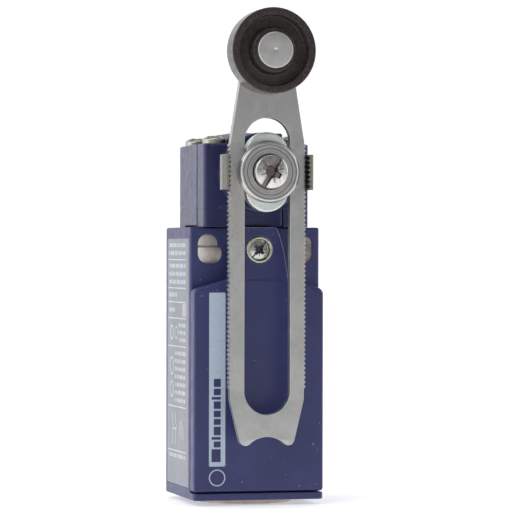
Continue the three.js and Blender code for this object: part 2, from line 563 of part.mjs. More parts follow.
add('lever_plate', leverPlate(), zincPlate);
add('roller_pin', rollerPin(), brightSteel);
add('pin_washer', rollerRing(PIN.shankR + 0.03, 4.2,
  [LEVER.frontY + LEVER.thickness + 0.45, LEVER.frontY + LEVER.thickness + 0.03]), zincPlate);
add('roller_bush', rollerRing(PIN.shankR + 0.05, ROLLER.boreR - 0.05,
  [LEVER.frontY - 0.05, ROLLER.frontY - 0.1]), bronzeMetal);
add('roller', roller(), darkPlastic);

// ---------------------------------------------------------------- pusher and contact block
function pusher() {
  const { headR, topZ, headHeight, stemR, bottomZ } = PUSHER;
  return turnedZ([
    [0, bottomZ], [stemR - 0.5, bottomZ], [stemR, bottomZ + 0.5], [stemR, topZ - headHeight],
    [headR, topZ - headHeight], [headR, topZ], [0, topZ],
  ], 0, HEAD_Y, 20);
}

const BRIDGE = { halfX: 4.4, thickness: 0.6, buttonX: 3.6, buttonR: 0.8, closesZ: 29.4, opensZ: 38 };
const PLUNGER = { half: 1.9, topZ: PUSHER.bottomZ - 0.1, bottomZ: 27.6 };
const CASE_Y = (TERMINAL.bladeY[0] + TERMINAL.bladeY[1]) / 2;

function contactPlunger() {
  const { half, topZ, bottomZ } = PLUNGER;
  const stem = box([-half, half], [CASE_Y - half, CASE_Y + half], [bottomZ, topZ]);
  const windows = [BRIDGE.closesZ, BRIDGE.opensZ].map((z) =>
    box([-5, 5], [CASE_Y - 1.05, CASE_Y + 1.05], [z - 0.05, z + BRIDGE.thickness + 0.05]));
  return cut(stem, ...windows);
}

// A moving contact strip with a contact button near each end, above it or below it.
function contactBridge(z, up) {
  const { halfX, thickness, buttonX, buttonR } = BRIDGE;
  const strip = box([-halfX, halfX], [CASE_Y - 1, CASE_Y + 1], [z, z + thickness]);
  const span = up ? [z + 0.1, z + thickness + 0.45] : [z - 0.45, z + 0.1];
  return join(strip, ...both.map((side) => rodZ(buttonR, span, side * buttonX, CASE_Y, 12)));
}

function contactCase() {
  const { halfX, backY, frontY, lowZ, highZ, wall } = CASE;
  const block = box([-halfX, halfX], [backY, frontY], [lowZ, highZ]);
  const shelves = [SHELF.upper, SHELF.lower].map((span) =>
    box([-SHELF.x, SHELF.x], [backY, SHELF.frontY], span));
  const ears = box([-SHELF.x, SHELF.x], [backY, -7.4], [SHELF.lower[1] - 1, SHELF.upper[0] + 1]);
  const inside = box([wall - halfX, halfX - wall], [backY - 1.6, frontY - 1], [lowZ + 2, highZ - 1.7]);
  const plungerHole = box([-2, 2], [CASE_Y - 2, CASE_Y + 2], [highZ - 3, highZ + 1]);
  const bladeSlots = [[39.05, 39.95], [26.25, 27.15]].map((span) =>
    box([-halfX - 1, halfX + 1], [TERMINAL.bladeY[0] + 0.1, frontY - 1], span));
  const screwHoles = both.flatMap((side) => [
    rodY(1.6, [-5.4, -20], side * TERMINAL.x, TERMINAL.upperZ, 12),
    rodY(1.6, [-5.4, -20], side * TERMINAL.x, TERMINAL.lowerZ, 12),
    rodY(1.35, [0, -20], side * TERMINAL.x, BLOCK_SCREW_Z, 12),
  ]);
  return cut(join(block, ...shelves, ears), inside, plungerHole, ...bladeSlots, ...screwHoles);
}

// A fixed contact: a blade that reaches into the case, bent down into the plate under the terminal screw.
function terminal(side, bladeZ, screwZ, plateZ) {
  const reach = [side * 2.8, side * 11];
  const blade = box(reach, TERMINAL.bladeY, [bladeZ, bladeZ + TERMINAL.thickness]);
  const plate = box([side * 7.1, side * 11], [-12.6, -13.5], plateZ);
  return cut(join(blade, plate), rodY(1.7, [-10, -20], side * TERMINAL.x, screwZ, 12));
}

function terminalWasher(side, screwZ) {
  const square = box([side * (TERMINAL.x - 1.9), side * (TERMINAL.x + 1.9)], [-14.7, -15.4],
    [screwZ - 2.3, screwZ + 2.3]);
  return cut(square, rodY(1.6, [-10, -20], side * TERMINAL.x, screwZ, 12));
}

const smallScrew = { headR: 1.9, headHeight: 1.5, shankR: 1.45, length: 9.4, segments: 12 };
const terminals = [
  [-1, 39.15, TERMINAL.upperZ, [33.2, 39.5]], [1, 39.15, TERMINAL.upperZ, [33.2, 39.5]],
  [-1, 26.35, TERMINAL.lowerZ, [21, 26.7]], [1, 26.35, TERMINAL.lowerZ, [21, 26.7]],
];

add('pusher', pusher(), brightSteel);
add('return_spring', coilSpring(0, HEAD_Y, [COLLAR.bottomZ + 1.3, PUSHER.topZ - PUSHER.headHeight - 0.05],
  3.9, 0.4, 4), brightSteel);
add('contact_case', contactCase(), greyPlastic);
add('contact_lid', box([-CASE.halfX, CASE.halfX], [CASE.frontY - 0.05, CASE.frontY - 1.8],
  [CASE.lowZ, CASE.highZ]), greyPlastic);
add('contact_plunger', contactPlunger(), redPlastic);
add('contact_bridge_1', contactBridge(BRIDGE.opensZ, true), brassMetal);
add('contact_bridge_2', contactBridge(BRIDGE.closesZ, false), brassMetal);
add('contact_spring', coilSpring(0, CASE_Y, [CASE.lowZ + 2.05, PLUNGER.bottomZ - 0.05], 1.5, 0.28, 4),
  brightSteel);
terminals.forEach(([side, bladeZ, screwZ, plateZ], i) => {
  add(`terminal_${i + 1}`, terminal(side, bladeZ, screwZ, plateZ), brassMetal);
  add(`terminal_washer_${i + 1}`, terminalWasher(side, screwZ), zincPlate);
  add(`terminal_screw_${i + 1}`, screwToFront(smallScrew, [side * TERMINAL.x, -15.45, screwZ]), zincPlate);
});
both.forEach((side, i) => {
  const size = { headR: 2, headHeight: 1.5, shankR: 1.25, length: 6, segments: 12 };
  add(`block_screw_${i + 1}`, screwToFront(size, [side * TERMINAL.x, -7.45, BLOCK_SCREW_Z]), zincPlate);
});
add('earth_washer', turnedY(closed([[1.75, -7.05], [3.4, -7.05], [3.4, -7.85], [1.75, -7.85]]),
  EARTH.x, EARTH.z, 20), brassMetal);
add('earth_screw', screwToFront({ headR: 2.8, headHeight: 1.8, shankR: 1.6, length: 4.3, segments: 12 },
  [EARTH.x, -7.9, EARTH.z]), zincPlate);

export default limitSwitch;
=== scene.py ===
"""Limit switch with a slotted, adjustable roller lever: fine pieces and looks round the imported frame.

Shapes are made in millimetres, with heights from the underside of the housing's lip, and put into the
frame at the end. Outlines are lists of complex numbers: across and up, or radius and distance along
an axis.
"""
import cmath
import json
import math
import random

import bmesh
import bpy
from mathutils import Matrix, Vector


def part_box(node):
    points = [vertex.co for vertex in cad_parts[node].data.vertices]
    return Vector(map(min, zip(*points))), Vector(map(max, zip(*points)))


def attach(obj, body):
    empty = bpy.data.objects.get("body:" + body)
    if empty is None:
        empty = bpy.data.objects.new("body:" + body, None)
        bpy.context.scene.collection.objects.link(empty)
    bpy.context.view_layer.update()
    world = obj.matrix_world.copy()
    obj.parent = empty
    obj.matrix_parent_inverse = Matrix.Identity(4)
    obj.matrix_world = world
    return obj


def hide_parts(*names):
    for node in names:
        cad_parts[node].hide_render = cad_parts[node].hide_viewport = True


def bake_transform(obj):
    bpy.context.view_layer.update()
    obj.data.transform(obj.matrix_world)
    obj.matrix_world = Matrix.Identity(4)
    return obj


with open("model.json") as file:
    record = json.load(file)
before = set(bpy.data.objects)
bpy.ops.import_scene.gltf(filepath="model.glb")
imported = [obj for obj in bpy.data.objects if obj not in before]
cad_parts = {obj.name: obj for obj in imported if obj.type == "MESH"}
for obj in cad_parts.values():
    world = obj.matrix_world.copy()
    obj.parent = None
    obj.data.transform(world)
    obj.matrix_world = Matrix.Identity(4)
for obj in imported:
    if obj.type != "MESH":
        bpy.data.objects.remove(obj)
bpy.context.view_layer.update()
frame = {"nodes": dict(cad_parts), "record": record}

# ---------------- units and places
MM = 0.001
BOSS_DROP = 1.2  # how far the cable boss stands below the lip
LIP_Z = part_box("housing")[0].z + BOSS_DROP * MM


def span(node):
    """Lowest and highest corner of a CAD node in millimetres, with heights from the lip's underside."""
    low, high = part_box(node)
    lift = Vector((0, 0, LIP_Z))
    return (low - lift) / MM, (high - lift) / MM


def middle(node):
    low, high = span(node)
    return (low + high) / 2


HALF_WIDTH = span("housing")[1].x
SHOULDER_Z = span("housing")[1].z
COVER_Y = span("cover")[0].y
SEAM = 0.2
FACE_Y = span("cover")[1].y + SEAM
LIP_HEIGHT = 1.6
HEAD_HALF_X = span("head_base")[1].x
HEAD_BACK_Y = span("head_base")[1].y
HEAD_FRONT_Y = span("head_base")[0].y
HEAD_Y = (HEAD_BACK_Y + HEAD_FRONT_Y) / 2
HEAD_SEAM_Z = span("head_base")[1].z
RIDGE_Z = span("head_body")[1].z
HEAD_TOP_Z = RIDGE_Z - 2.4
BAND = 6.1  # half width of the head's four bands and of its ridge
PIVOT_Z = middle("shaft").z
ROLLER_Z = middle("roller").z
COVER_SCREW_Z = middle("cover_screw").z
CABLE_Y = -14.5


# ---------------- outlines
def fillet(*corners, closed=True, step=12):
    """An outline through corners (x, y, radius), each rounded by an arc in steps of so many degrees."""
    places = [complex(x, y) for x, y, _ in corners]
    loop = []
    for i, corner in enumerate(corners):
        p, radius = places[i], corner[2]
        if radius == 0 or (not closed and i in (0, len(corners) - 1)):
            loop.append(p)
            continue
        a, b = places[i - 1] - p, places[(i + 1) % len(places)] - p
        half = abs(cmath.phase(b / a)) / 2
        reach = min(radius / math.tan(half), 0.49 * abs(a), 0.49 * abs(b))
        a, b = a / abs(a), b / abs(b)
        centre = p + (a + b) / abs(a + b) * (reach / math.cos(half))
        first = p + a * reach - centre
        sweep = cmath.phase((p + b * reach - centre) / first)
        count = max(2, math.ceil(abs(math.degrees(sweep)) / step))
        loop += [centre + first * cmath.rect(1, sweep * k / count) for k in range(count + 1)]
    return loop


def rectangle(x0, x1, y0, y1, radius=0.0):
    return fillet((x0, y0, radius), (x1, y0, radius), (x1, y1, radius), (x0, y1, radius))


def arc(centre, radius, start, end, count):
    """Points on an arc from one angle to another, in degrees."""
    return [centre + cmath.rect(radius, math.radians(start + (end - start) * k / count))
            for k in range(count + 1)]


def obround(x, z0, z1, radius, count=20):
    return arc(complex(x, z1), radius, 0, 180, count) + arc(complex(x, z0), radius, 180, 360, count)


def circle(x, z, radius, count=64):
    return arc(complex(x, z), radius, 0, 360 - 360 / count, count - 1)


def mirrored(right_half):
    """An outline whose right half is given from top to bottom."""
    return right_half + [complex(-p.real, p.imag) for p in reversed(right_half)]


def inset(loop, depth):
    """A closed outline moved inwards by depth, or outwards where depth is negative."""
    if depth == 0:
        return list(loop)
    turning = sum((a.conjugate() * b).imag for a, b in zip(loop, loop[1:] + loop[:1]))
    side = 1j if turning > 0 else -1j
    moved = []
    for before, p, after in zip(loop[-1:] + loop[:-1], loop, loop[1:] + loop[:1]):
        a, b = (p - before) / abs(p - before), (after - p) / abs(after - p)
        moved.append(p + (a + b) * side * depth / max(0.3, 1 + (a.conjugate() * b).real))
    return moved


# ---------------- solids
def place(p, along, axis):
    """Where an outline's point lies at a distance along an axis."""
    if axis == "x":
        return along, p.real, p.imag
    return (p.real, along, p.imag) if axis == "y" else (p.real, p.imag, along)


def stack(levels, axis):
    """A closed solid through outlines of equally many points, each at its distance along the axis."""
    bm = bmesh.new()
    rings = [[bm.verts.new(place(p, along, axis)) for p in loop] for loop, along in levels]
    for low, high in zip(rings, rings[1:]):
        for i in range(len(low)):
            j = (i + 1) % len(low)
            bm.faces.new((low[i], low[j], high[j], high[i]))
    caps = [bm.faces.new(rings[0]), bm.faces.new(rings[-1])]
    bmesh.ops.recalc_face_normals(bm, faces=bm.faces)
    bmesh.ops.triangulate(bm, faces=caps)
    return bm


def plate(loop, low, high, axis="y", low_edge=0.0, high_edge=0.0, steps=3):
    """An outline carried along an axis, with its two rims rounded by low_edge and high_edge."""
    turns = [math.pi / 2 * k / steps for k in range(steps + 1)]
    levels = [(0, low)]
    if low_edge:
        levels = [(low_edge * (1 - math.sin(t)), low + low_edge * (1 - math.cos(t))) for t in turns]
    if high_edge:
        levels += [(high_edge * (1 - math.cos(t)), high - high_edge * (1 - math.sin(t))) for t in turns]
    else:
        levels.append((0, high))
    return stack([(inset(loop, depth), along) for depth, along in levels], axis)


CLEAR = 0.004  # a flare ends that little outside the face, so that no two faces coincide


def hole(loop, low, high, axis="y", low_rim=0.0, high_rim=0.0, beyond=1.0):
    """A cutter through the faces at low and high, flared so that the rim it leaves there is rounded."""
    turns = [math.pi / 2 * k / 3 for k in range(4)]
    low, high = low - CLEAR, high + CLEAR
    levels = [(-low_rim, low - beyond)]
    if low_rim:
        levels += [(-low_rim * (1 - math.sin(t)), low + low_rim * (1 - math.cos(t))) for t in turns]
    if high_rim:
        levels += [(-high_rim * (1 - math.cos(t)), high - high_rim * (1 - math.sin(t))) for t in turns]
    levels.append((-high_rim, high + beyond))
    return stack([(inset(loop, depth), along) for depth, along in levels], axis)


def lathe(profile, axis="y", centre=(0, 0), segments=96):
    """A turned solid. Its profile runs from axis to axis, or closes on itself round a bore."""
    bm = bmesh.new()
    middle_point = complex(*centre)
    rings = []
    for p in profile:
        count = segments if p.real > 1e-6 else 1
        rings.append([bm.verts.new(place(middle_point + cmath.rect(p.real, math.tau * k / segments),
                                         p.imag, axis)) for k in range(count)])
    pairs = list(zip(rings, rings[1:]))
    if len(rings[0]) > 1:
        pairs.append((rings[-1], rings[0]))
    for low, high in pairs:
        for k in range(segments):
            j = (k + 1) % segments
            corners = [low[k % len(low)], low[j % len(low)], high[j % len(high)], high[k % len(high)]]
            bm.faces.new(list(dict.fromkeys(corners)))
    bmesh.ops.recalc_face_normals(bm, faces=bm.faces)
    return bm


def box(x, y, z):
    return plate(rectangle(x[0], x[1], z[0], z[1]), min(y), max(y))


def turned(bm, degrees, axis, centre):
    """The same solid, turned about an axis through a point."""
    spin = Matrix.Rotation(math.radians(degrees), 4, axis)
    shift = Matrix.Translation(centre)
    bm.transform(shift @ spin @ shift.inverted())
    return bm


def as_object(bm, name="tool"):
    mesh = bpy.data.meshes.new(name)
    bm.to_mesh(mesh)
    bm.free()
    made = bpy.data.objects.new(name, mesh)
    bpy.context.scene.collection.objects.link(made)
    return made


def combine(target, operation, tools):
    """The target joined with, or cut by, solids, one after the other."""
    for bm in tools:
        tool = as_object(bm)
        step = target.modifiers.new("step", "BOOLEAN")
        step.operation, step.solver, step.object = operation, "EXACT", tool
        evaluated = target.evaluated_get(bpy.context.evaluated_depsgraph_get())
        mesh = bpy.data.meshes.new_from_object(evaluated)
        target.modifiers.clear()
        target.data = mesh
        bpy.data.objects.remove(tool)
    return target


def join(target, *tools):
    return combine(target, "UNION", tools)


def cut(target, *tools):
    return combine(target, "DIFFERENCE", tools)


# ---------------- pieces
SHARP = math.radians(38)
INTO_FRAME = Matrix.Translation((0, 0, LIP_Z)) @ Matrix.Scale(MM, 4)


def piece(made, name, body, looks, nodes=(), where=None):
    """Puts a finished solid into the frame, with its materials, its body and the nodes it stands for.
    where gives each face's place in looks from the face's centre, in millimetres, and its normal."""
    made.name = name
    mesh = made.data
    mesh.materials.clear()
    for look in looks:
        mesh.materials.append(look)
    if where:
        for face in mesh.polygons:
            face.material_index = where(face.center, face.normal)
    mesh.transform(INTO_FRAME)
    mesh.shade_smooth()
    mesh.set_sharp_from_angle(angle=SHARP)
    normals = made.modifiers.new("normals", "WEIGHTED_NORMAL")
    normals.keep_sharp = True
    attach(made, body)
    if nodes:
        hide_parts(*nodes)
    return made


# ---------------- materials
class Look:
    """One node material. Patterns are laid out in millimetres on the piece itself."""

    def __init__(self, name, metallic=0.0, roughness=0.5):
        self.material = bpy.data.materials.new(name)
        self.material.use_nodes = True
        self.tree = self.material.node_tree
        self.shader = self.tree.nodes["Principled BSDF"]
        self.shader.inputs["Metallic"].default_value = metallic
        self.shader.inputs["Roughness"].default_value = roughness
        place_node = self.add("ShaderNodeTexCoord")
        scaled = self.add("ShaderNodeMapping")
        scaled.inputs["Scale"].default_value = (1 / MM,) * 3
        self.link(place_node.outputs["Object"], scaled.inputs["Vector"])
        self.here = scaled.outputs["Vector"]

    def add(self, kind, **settings):
        node = self.tree.nodes.new(kind)
        for key, value in settings.items():
            setattr(node, key, value)
        return node

    def link(self, source, target):
        self.tree.links.new(source, target)

    def feed(self, socket, value):
        if isinstance(value, bpy.types.NodeSocket):
            self.link(value, socket)
        else:
            socket.default_value = value

    def sums(self, operation, a, b=0.0):
        node = self.add("ShaderNodeMath", operation=operation)
        for socket, value in zip(node.inputs, (a, b)):
            self.feed(socket, value)
        return node.outputs[0]

    def noise(self, per_mm, detail=3.0, roughness=0.55, stretch=(1, 1, 1)):
        node = self.add("ShaderNodeTexNoise")
        node.inputs["Scale"].default_value = per_mm
        node.inputs["Detail"].default_value = detail
        node.inputs["Roughness"].default_value = roughness
        where = self.here
        if stretch != (1, 1, 1):
            scaled = self.add("ShaderNodeMapping")
            scaled.inputs["Scale"].default_value = stretch
            self.link(where, scaled.inputs["Vector"])
            where = scaled.outputs["Vector"]
        self.link(where, node.inputs["Vector"])
        return node.outputs["Fac"]

    def between(self, value, low=0.3, high=0.7, to_low=0.0, to_high=1.0):
        """A value from low to high, eased and brought to the range to_low to to_high."""
        node = self.add("ShaderNodeMapRange", interpolation_type="SMOOTHSTEP")
        for socket, number in zip(("Value", "From Min", "From Max", "To Min", "To Max"),
                                  (value, low, high, to_low, to_high)):
            self.feed(node.inputs[socket], number)
        return node.outputs["Result"]

    def mix(self, share, a, b):
        node = self.add("ShaderNodeMix", data_type="RGBA")
        self.feed(node.inputs["Factor"], share)
        for socket, value in ((node.inputs[6], a), (node.inputs[7], b)):
            self.feed(socket, value if isinstance(value, bpy.types.NodeSocket) else (*value, 1))
        return node.outputs[2]

    def edges(self, radius_mm):
        """1 on sharp edges, falling to 0 within about the radius."""
        rounded = self.add("ShaderNodeBevel", samples=4)
        rounded.inputs["Radius"].default_value = radius_mm * MM
        flat = self.add("ShaderNodeNewGeometry")
        dot = self.add("ShaderNodeVectorMath", operation="DOT_PRODUCT")
        self.link(rounded.outputs["Normal"], dot.inputs[0])
        self.link(flat.outputs["Normal"], dot.inputs[1])
        return self.between(dot.outputs["Value"], 0.995, 0.86)

    def from_axis(self, x, z, axis="y"):
        """Distance in millimetres from a line along Y, at a height z, or along Z, at a depth z."""
        parts = self.add("ShaderNodeSeparateXYZ")
        self.link(self.here, parts.inputs[0])
        other = "Z" if axis == "y" else "Y"
        if axis == "y":
            z += LIP_Z / MM

        def squared(value, centre):
            off = self.sums("ABSOLUTE", self.sums("SUBTRACT", value, centre))
            return self.sums("POWER", off, 2.0)
        return self.sums("SQRT", self.sums("ADD", squared(parts.outputs["X"], x),
                                           squared(parts.outputs[other], z)))

    def lines(self, along, per_mm):
        """Noise that changes only with one distance, such as the marks that turning leaves."""
        node = self.add("ShaderNodeTexNoise", noise_dimensions="1D")
        node.inputs["Scale"].default_value = per_mm
        node.inputs["Detail"].default_value = 3
        self.link(along, node.inputs["W"])
        return node.outputs["Fac"]

    def colour(self, value):
        self.feed(self.shader.inputs["Base Color"], value)

    def rough(self, pattern, least, most, low=0.3, high=0.7):
        """Roughness from least to most as a pattern goes from low to high."""
        self.feed(self.shader.inputs["Roughness"], self.between(pattern, low, high, least, most))

    def bump(self, height, depth_mm):
        node = self.add("ShaderNodeBump")
        node.inputs["Strength"].default_value = 1.0
        node.inputs["Distance"].default_value = depth_mm * MM
        self.link(height, node.inputs["Height"])
        self.link(node.outputs["Normal"], self.shader.inputs["Normal"])


EDGE_WEAR_AND_HIGHLIGHT = (0.16, 0.17, 0.26)  # paler paint on worn edges, which also stands in for a painted highlight on rounded edges


def tint(colour, share):
    return tuple(c * share for c in colour)


def enamel(name, colour, roughness=0.4, peel=0.02):
    """Semi-gloss paint on a casting: uneven tone, fine peel, a little dust, and paler edges, partly wear
    and partly a painted highlight.
    """
    look = Look(name, roughness=roughness)
    cloud = look.noise(0.09)
    grain = look.noise(2.2, detail=4, roughness=0.7)
    base = look.mix(look.between(cloud), tint(colour, 0.88), tint(colour, 1.12))
    base = look.mix(look.between(grain, 0.35, 0.75, 0, 0.3), base, tint(colour, 1.35))
    patchy = look.between(look.noise(0.7, detail=4), 0.35, 0.7, 0.1, 0.5)
    # paler edges: wear together with a painted highlight where rounded edges catch the light
    edge = look.sums("MULTIPLY", look.edges(0.28), patchy)
    base = look.mix(edge, base, EDGE_WEAR_AND_HIGHLIGHT)
    dust = look.between(look.noise(1.7, detail=2, roughness=0.4), 0.735, 0.77)
    dust = look.sums("MULTIPLY", dust, look.between(look.noise(0.12, detail=1), 0.42, 0.6, 0, 0.55))
    look.colour(look.mix(dust, base, (0.5, 0.52, 0.6)))
    look.rough(look.noise(0.5, detail=4), roughness - 0.06, roughness + 0.06, 0.25, 0.75)
    look.bump(look.noise(0.8, roughness=0.5), peel)
    return look.material


def plated(name, colour, roughness=0.4, mottle=1.0, shaded_before_y=None):
    """Zinc-plated steel: grainy, with faint cool and warm patches, and perhaps darker before a depth Y,
    a painted shade.
    """
    look = Look(name, metallic=1.0, roughness=roughness)
    cool = look.between(look.noise(0.16, detail=5, roughness=0.62), 0.42, 0.62, 0, mottle)
    streaks = look.noise(0.24, detail=4, roughness=0.6, stretch=(1, 1, 0.8))
    warm = look.between(streaks, 0.5, 0.68, 0, mottle)
    stains = look.between(look.noise(0.9, detail=5, roughness=0.7), 0.56, 0.72, 0, 0.5 * mottle)
    r, g, b = colour
    base = look.mix(cool, colour, (0.80 * r, 0.87 * g, 0.84 * b))
    base = look.mix(warm, base, (0.98 * r, 0.90 * g, 0.87 * b))
    base = look.mix(stains, base, (0.70 * r, 0.69 * g, 0.66 * b))
    grain = look.between(look.noise(3.6, roughness=0.75), 0.3, 0.72)
    darker, lighter = look.mix(0.35, base, tint(colour, 0.72)), look.mix(0.2, base, tint(colour, 1.25))
    base = look.mix(grain, darker, lighter)
    if shaded_before_y is not None:
        # in front of that depth the colour is darker: painted shade in place of the back half's brighter
        # reflection
        parts = look.add("ShaderNodeSeparateXYZ")
        look.link(look.here, parts.inputs[0])
        front = look.between(parts.outputs["Y"], shaded_before_y + 0.15, shaded_before_y - 0.15)
        base = look.mix(front, base, (0.42 * r, 0.41 * g, 0.35 * b))
    # paler edges: a painted highlight along the sheet's edges
    base = look.mix(look.sums("MULTIPLY", look.edges(0.14), 0.6), base, tint(colour, 1.55))
    look.colour(base)
    look.rough(look.noise(1.3, detail=4), roughness - 0.06, roughness + 0.1)
    look.bump(look.noise(4.2, roughness=0.7), 0.005)
    return look.material


def lathed(name, colour, centre, roughness=0.26, axis="y", depth=0.004, marks=5.0, contrast=0.17):
    """Turned steel with fine rings about its own axis."""
    look = Look(name, metallic=1.0, roughness=roughness)
    radius = look.from_axis(*centre, axis=axis)
    rings = look.lines(radius, marks)
    stains = look.between(look.noise(0.5, detail=4), 0.4, 0.7)
    r, g, b = colour
    base = look.mix(look.between(rings), tint(colour, 1 - contrast), tint(colour, 1 + contrast))
    look.colour(look.mix(look.sums("MULTIPLY", stains, 0.35), base, (0.75 * r, 0.7 * g, 0.64 * b)))
    look.rough(rings, roughness - 0.05, roughness + 0.12)
    look.bump(rings, depth)
    return look.material


def metal(name, colour, roughness=0.35, grain=2.0):
    """Plain machined or pressed metal with fine grain and a little staining."""
    look = Look(name, metallic=1.0, roughness=roughness)
    uneven = look.between(look.noise(grain, detail=4))
    base = look.mix(uneven, tint(colour, 0.82), tint(colour, 1.1))
    # paler edges: a painted highlight
    look.colour(look.mix(look.sums("MULTIPLY", look.edges(0.12), 0.4), base, tint(colour, 1.3)))
    look.rough(look.noise(0.8), roughness - 0.06, roughness + 0.08)
    look.bump(look.noise(1.5 * grain), 0.004)
    return look.material


def moulded(name, colour, roughness):
    """Moulded plastic or rubber with a fine texture and slightly paler scuffs."""
    look = Look(name, roughness=roughness)
    scuffs = look.between(look.noise(0.6, detail=5, roughness=0.7), 0.5, 0.75, 0, 0.15)
    cloud = look.between(look.noise(0.25, detail=2))
    base = look.mix(cloud, tint(colour, 0.88), tint(colour, 1.12))
    look.colour(look.mix(scuffs, base, tuple(0.75 * c + 0.12 for c in colour)))
    look.rough(look.noise(1.2), roughness - 0.06, roughness + 0.08)
    look.bump(look.noise(5.0), 0.006)
    return look.material


def turned_plastic(name, colour, centre):
    """Moulded plastic whose running faces carry faint rings."""
    look = Look(name, roughness=0.25)
    rings = look.lines(look.from_axis(*centre), 3.2)
    base = look.mix(look.between(rings), tint(colour, 0.85), tint(colour, 1.2))
    scuffs = look.between(look.noise(0.8, detail=5, roughness=0.7), 0.52, 0.75, 0, 0.16)
    look.colour(look.mix(scuffs, base, (0.2, 0.18, 0.16)))
    look.rough(look.noise(0.9, detail=4), 0.2, 0.32)
    look.bump(rings, 0.004)
    return look.material


def film(name, colour, roughness):
    """A printed label film with a faint cloudy tone."""
    look = Look(name, roughness=roughness)
    cloud = look.noise(0.12, stretch=(1, 1, 0.3))
    base = look.mix(look.between(cloud, 0.35, 0.65), tint(colour, 0.93), tint(colour, 1.08))
    grain = look.between(look.noise(6.0, detail=2), 0.4, 0.7, 0, 0.12)
    look.colour(look.mix(grain, base, tint(colour, 1.2)))
    look.rough(look.noise(1.0), roughness - 0.05, roughness + 0.06)
    look.bump(look.noise(0.35), 0.01)
    return look.material


ZINC = (0.53, 0.525, 0.517)
NAVY = (0.031, 0.035, 0.13)
CLAMP_AXIS, ROLLER_AXIS = (0, PIVOT_Z), (0, ROLLER_Z)
case_paint = enamel("case_paint", NAVY)
head_paint = enamel("head_paint", (0.022, 0.025, 0.09), 0.33, peel=0.009)
# a paler paint for the cover tongue's rounded edge: a painted highlight
edge_highlight_paint = enamel("edge_highlight_paint", (0.17, 0.18, 0.27), 0.3)
bare_casting = metal("bare_casting", (0.56, 0.52, 0.49), 0.42)
boss_face = lathed("boss_face", (0.66, 0.56, 0.5), (0, CABLE_Y), 0.4, axis="z")
zinc = plated("zinc_plate", ZINC)
flange_zinc = plated("flange_zinc", tint(ZINC, 0.86), shaded_before_y=-34.8)
zinc_dark = plated("zinc_yellow", (0.5, 0.49, 0.42), 0.33)
edge_zinc = plated("edge_zinc", (0.3, 0.295, 0.25), 0.45)
# the cup washer's front face takes a darker copy of the same zinc with stronger rings: painted shade
cup_zinc = lathed("cup_zinc", (0.62, 0.62, 0.6), CLAMP_AXIS, 0.36, marks=4.2, depth=0.01, contrast=0.36)
cup_face = lathed("cup_face", (0.44, 0.435, 0.43), CLAMP_AXIS, 0.3, marks=4.4, depth=0.03, contrast=0.62)
guide_zinc = plated("guide_zinc", (0.82, 0.86, 0.83), 0.42, mottle=0.6)
screw_steel = metal("clamp_screw_steel", (0.74, 0.72, 0.7), 0.3)
# brownish floors of the clamp screw's slot and recess: darker than the head and darker again in the pit,
# a painted shade
slot_brown = metal("slot_brown", (0.42, 0.36, 0.34), 0.32)
recess_brown = metal("recess_brown", (0.27, 0.2, 0.185), 0.3)
# near black: a painted shade on screw recess walls, in the head and cover screw recesses, and in the
# fixing holes' ledge groove
painted_recess_shade = metal("painted_recess_shade", (0.09, 0.09, 0.11), 0.4)
cover_screw_steel = metal("cover_screw_steel", (0.66, 0.66, 0.63), 0.27)
pin_steel = lathed("pin_steel", (0.66, 0.66, 0.645), ROLLER_AXIS, 0.36, depth=0.002, contrast=0.1)
ferrule_metal = metal("ferrule_metal", (0.6, 0.6, 0.5), 0.3)
steel = metal("bright_steel", (0.6, 0.6, 0.58), 0.3)
brass = metal("brass", (0.6, 0.44, 0.2), 0.35)
bronze = metal("bronze", (0.42, 0.24, 0.11), 0.45, grain=4)
rubber = moulded("rubber", (0.012, 0.012, 0.013), 0.7)
grey_plastic = moulded("grey_plastic", (0.42, 0.43, 0.41), 0.5)
red_plastic = moulded("red_plastic", (0.28, 0.03, 0.02), 0.45)
roller_plastic = turned_plastic("roller_plastic", (0.037, 0.028, 0.026), ROLLER_AXIS)
label_blue = film("label_blue", (0.44, 0.53, 0.64), 0.3)
label_grey = film("label_grey", (0.26, 0.27, 0.31), 0.42)
print_white = film("print_white", (0.6, 0.61, 0.66), 0.4)
print_navy = film("print_navy", (0.03, 0.034, 0.11), 0.4)
print_pale = film("print_pale", (0.42, 0.48, 0.62), 0.4)


# ---------------- housing
CABLE_HOLE_R = 8
FIXING_R = 2.2
FIXING_LOW, FIXING_HIGH = 55.3, 57.45
FIXING_SLOT_X, FIXING_ROUND_X = 11, 10
LEDGE_GROOVE = (56.66, 57.16)  # the step between slot and round hole, seen as a dark line; the groove is also painted near black as shadow
CHAMBER_X, CHAMBER_BACK = 11.6, -2.2
CHAMBER_LOW, CHAMBER_HIGH = 5, 43.8


def fixing_holes():
    """Each fixing hole is a short upright slot that runs into a round hole nearer the middle."""
    for side in (-1, 1):
        slot = obround(side * FIXING_SLOT_X, FIXING_LOW, FIXING_HIGH, FIXING_R)
        yield hole(slot, FACE_Y, 0, low_rim=0.25, high_rim=0.25)
        round_hole = circle(side * FIXING_ROUND_X, FIXING_LOW, FIXING_R)
        yield hole(round_hole, FACE_Y, 0, low_rim=0.22, high_rim=0.22)
        yield box(sorted((side * 8.95, side * 7.9)), (FACE_Y + 0.35, -0.35), LEDGE_GROOVE)


def in_fixing_hole(p):
    return (FIXING_LOW - 2.8 < p.z < FIXING_HIGH + 2.8 and 7.4 < abs(p.x) < 13.6
            and FACE_Y + 0.12 < p.y < -0.12)


def in_ledge_groove(p):
    low, high = LEDGE_GROOVE
    return in_fixing_hole(p) and abs(p.x) < 8.78 and low - 0.01 < p.z < high + 0.01


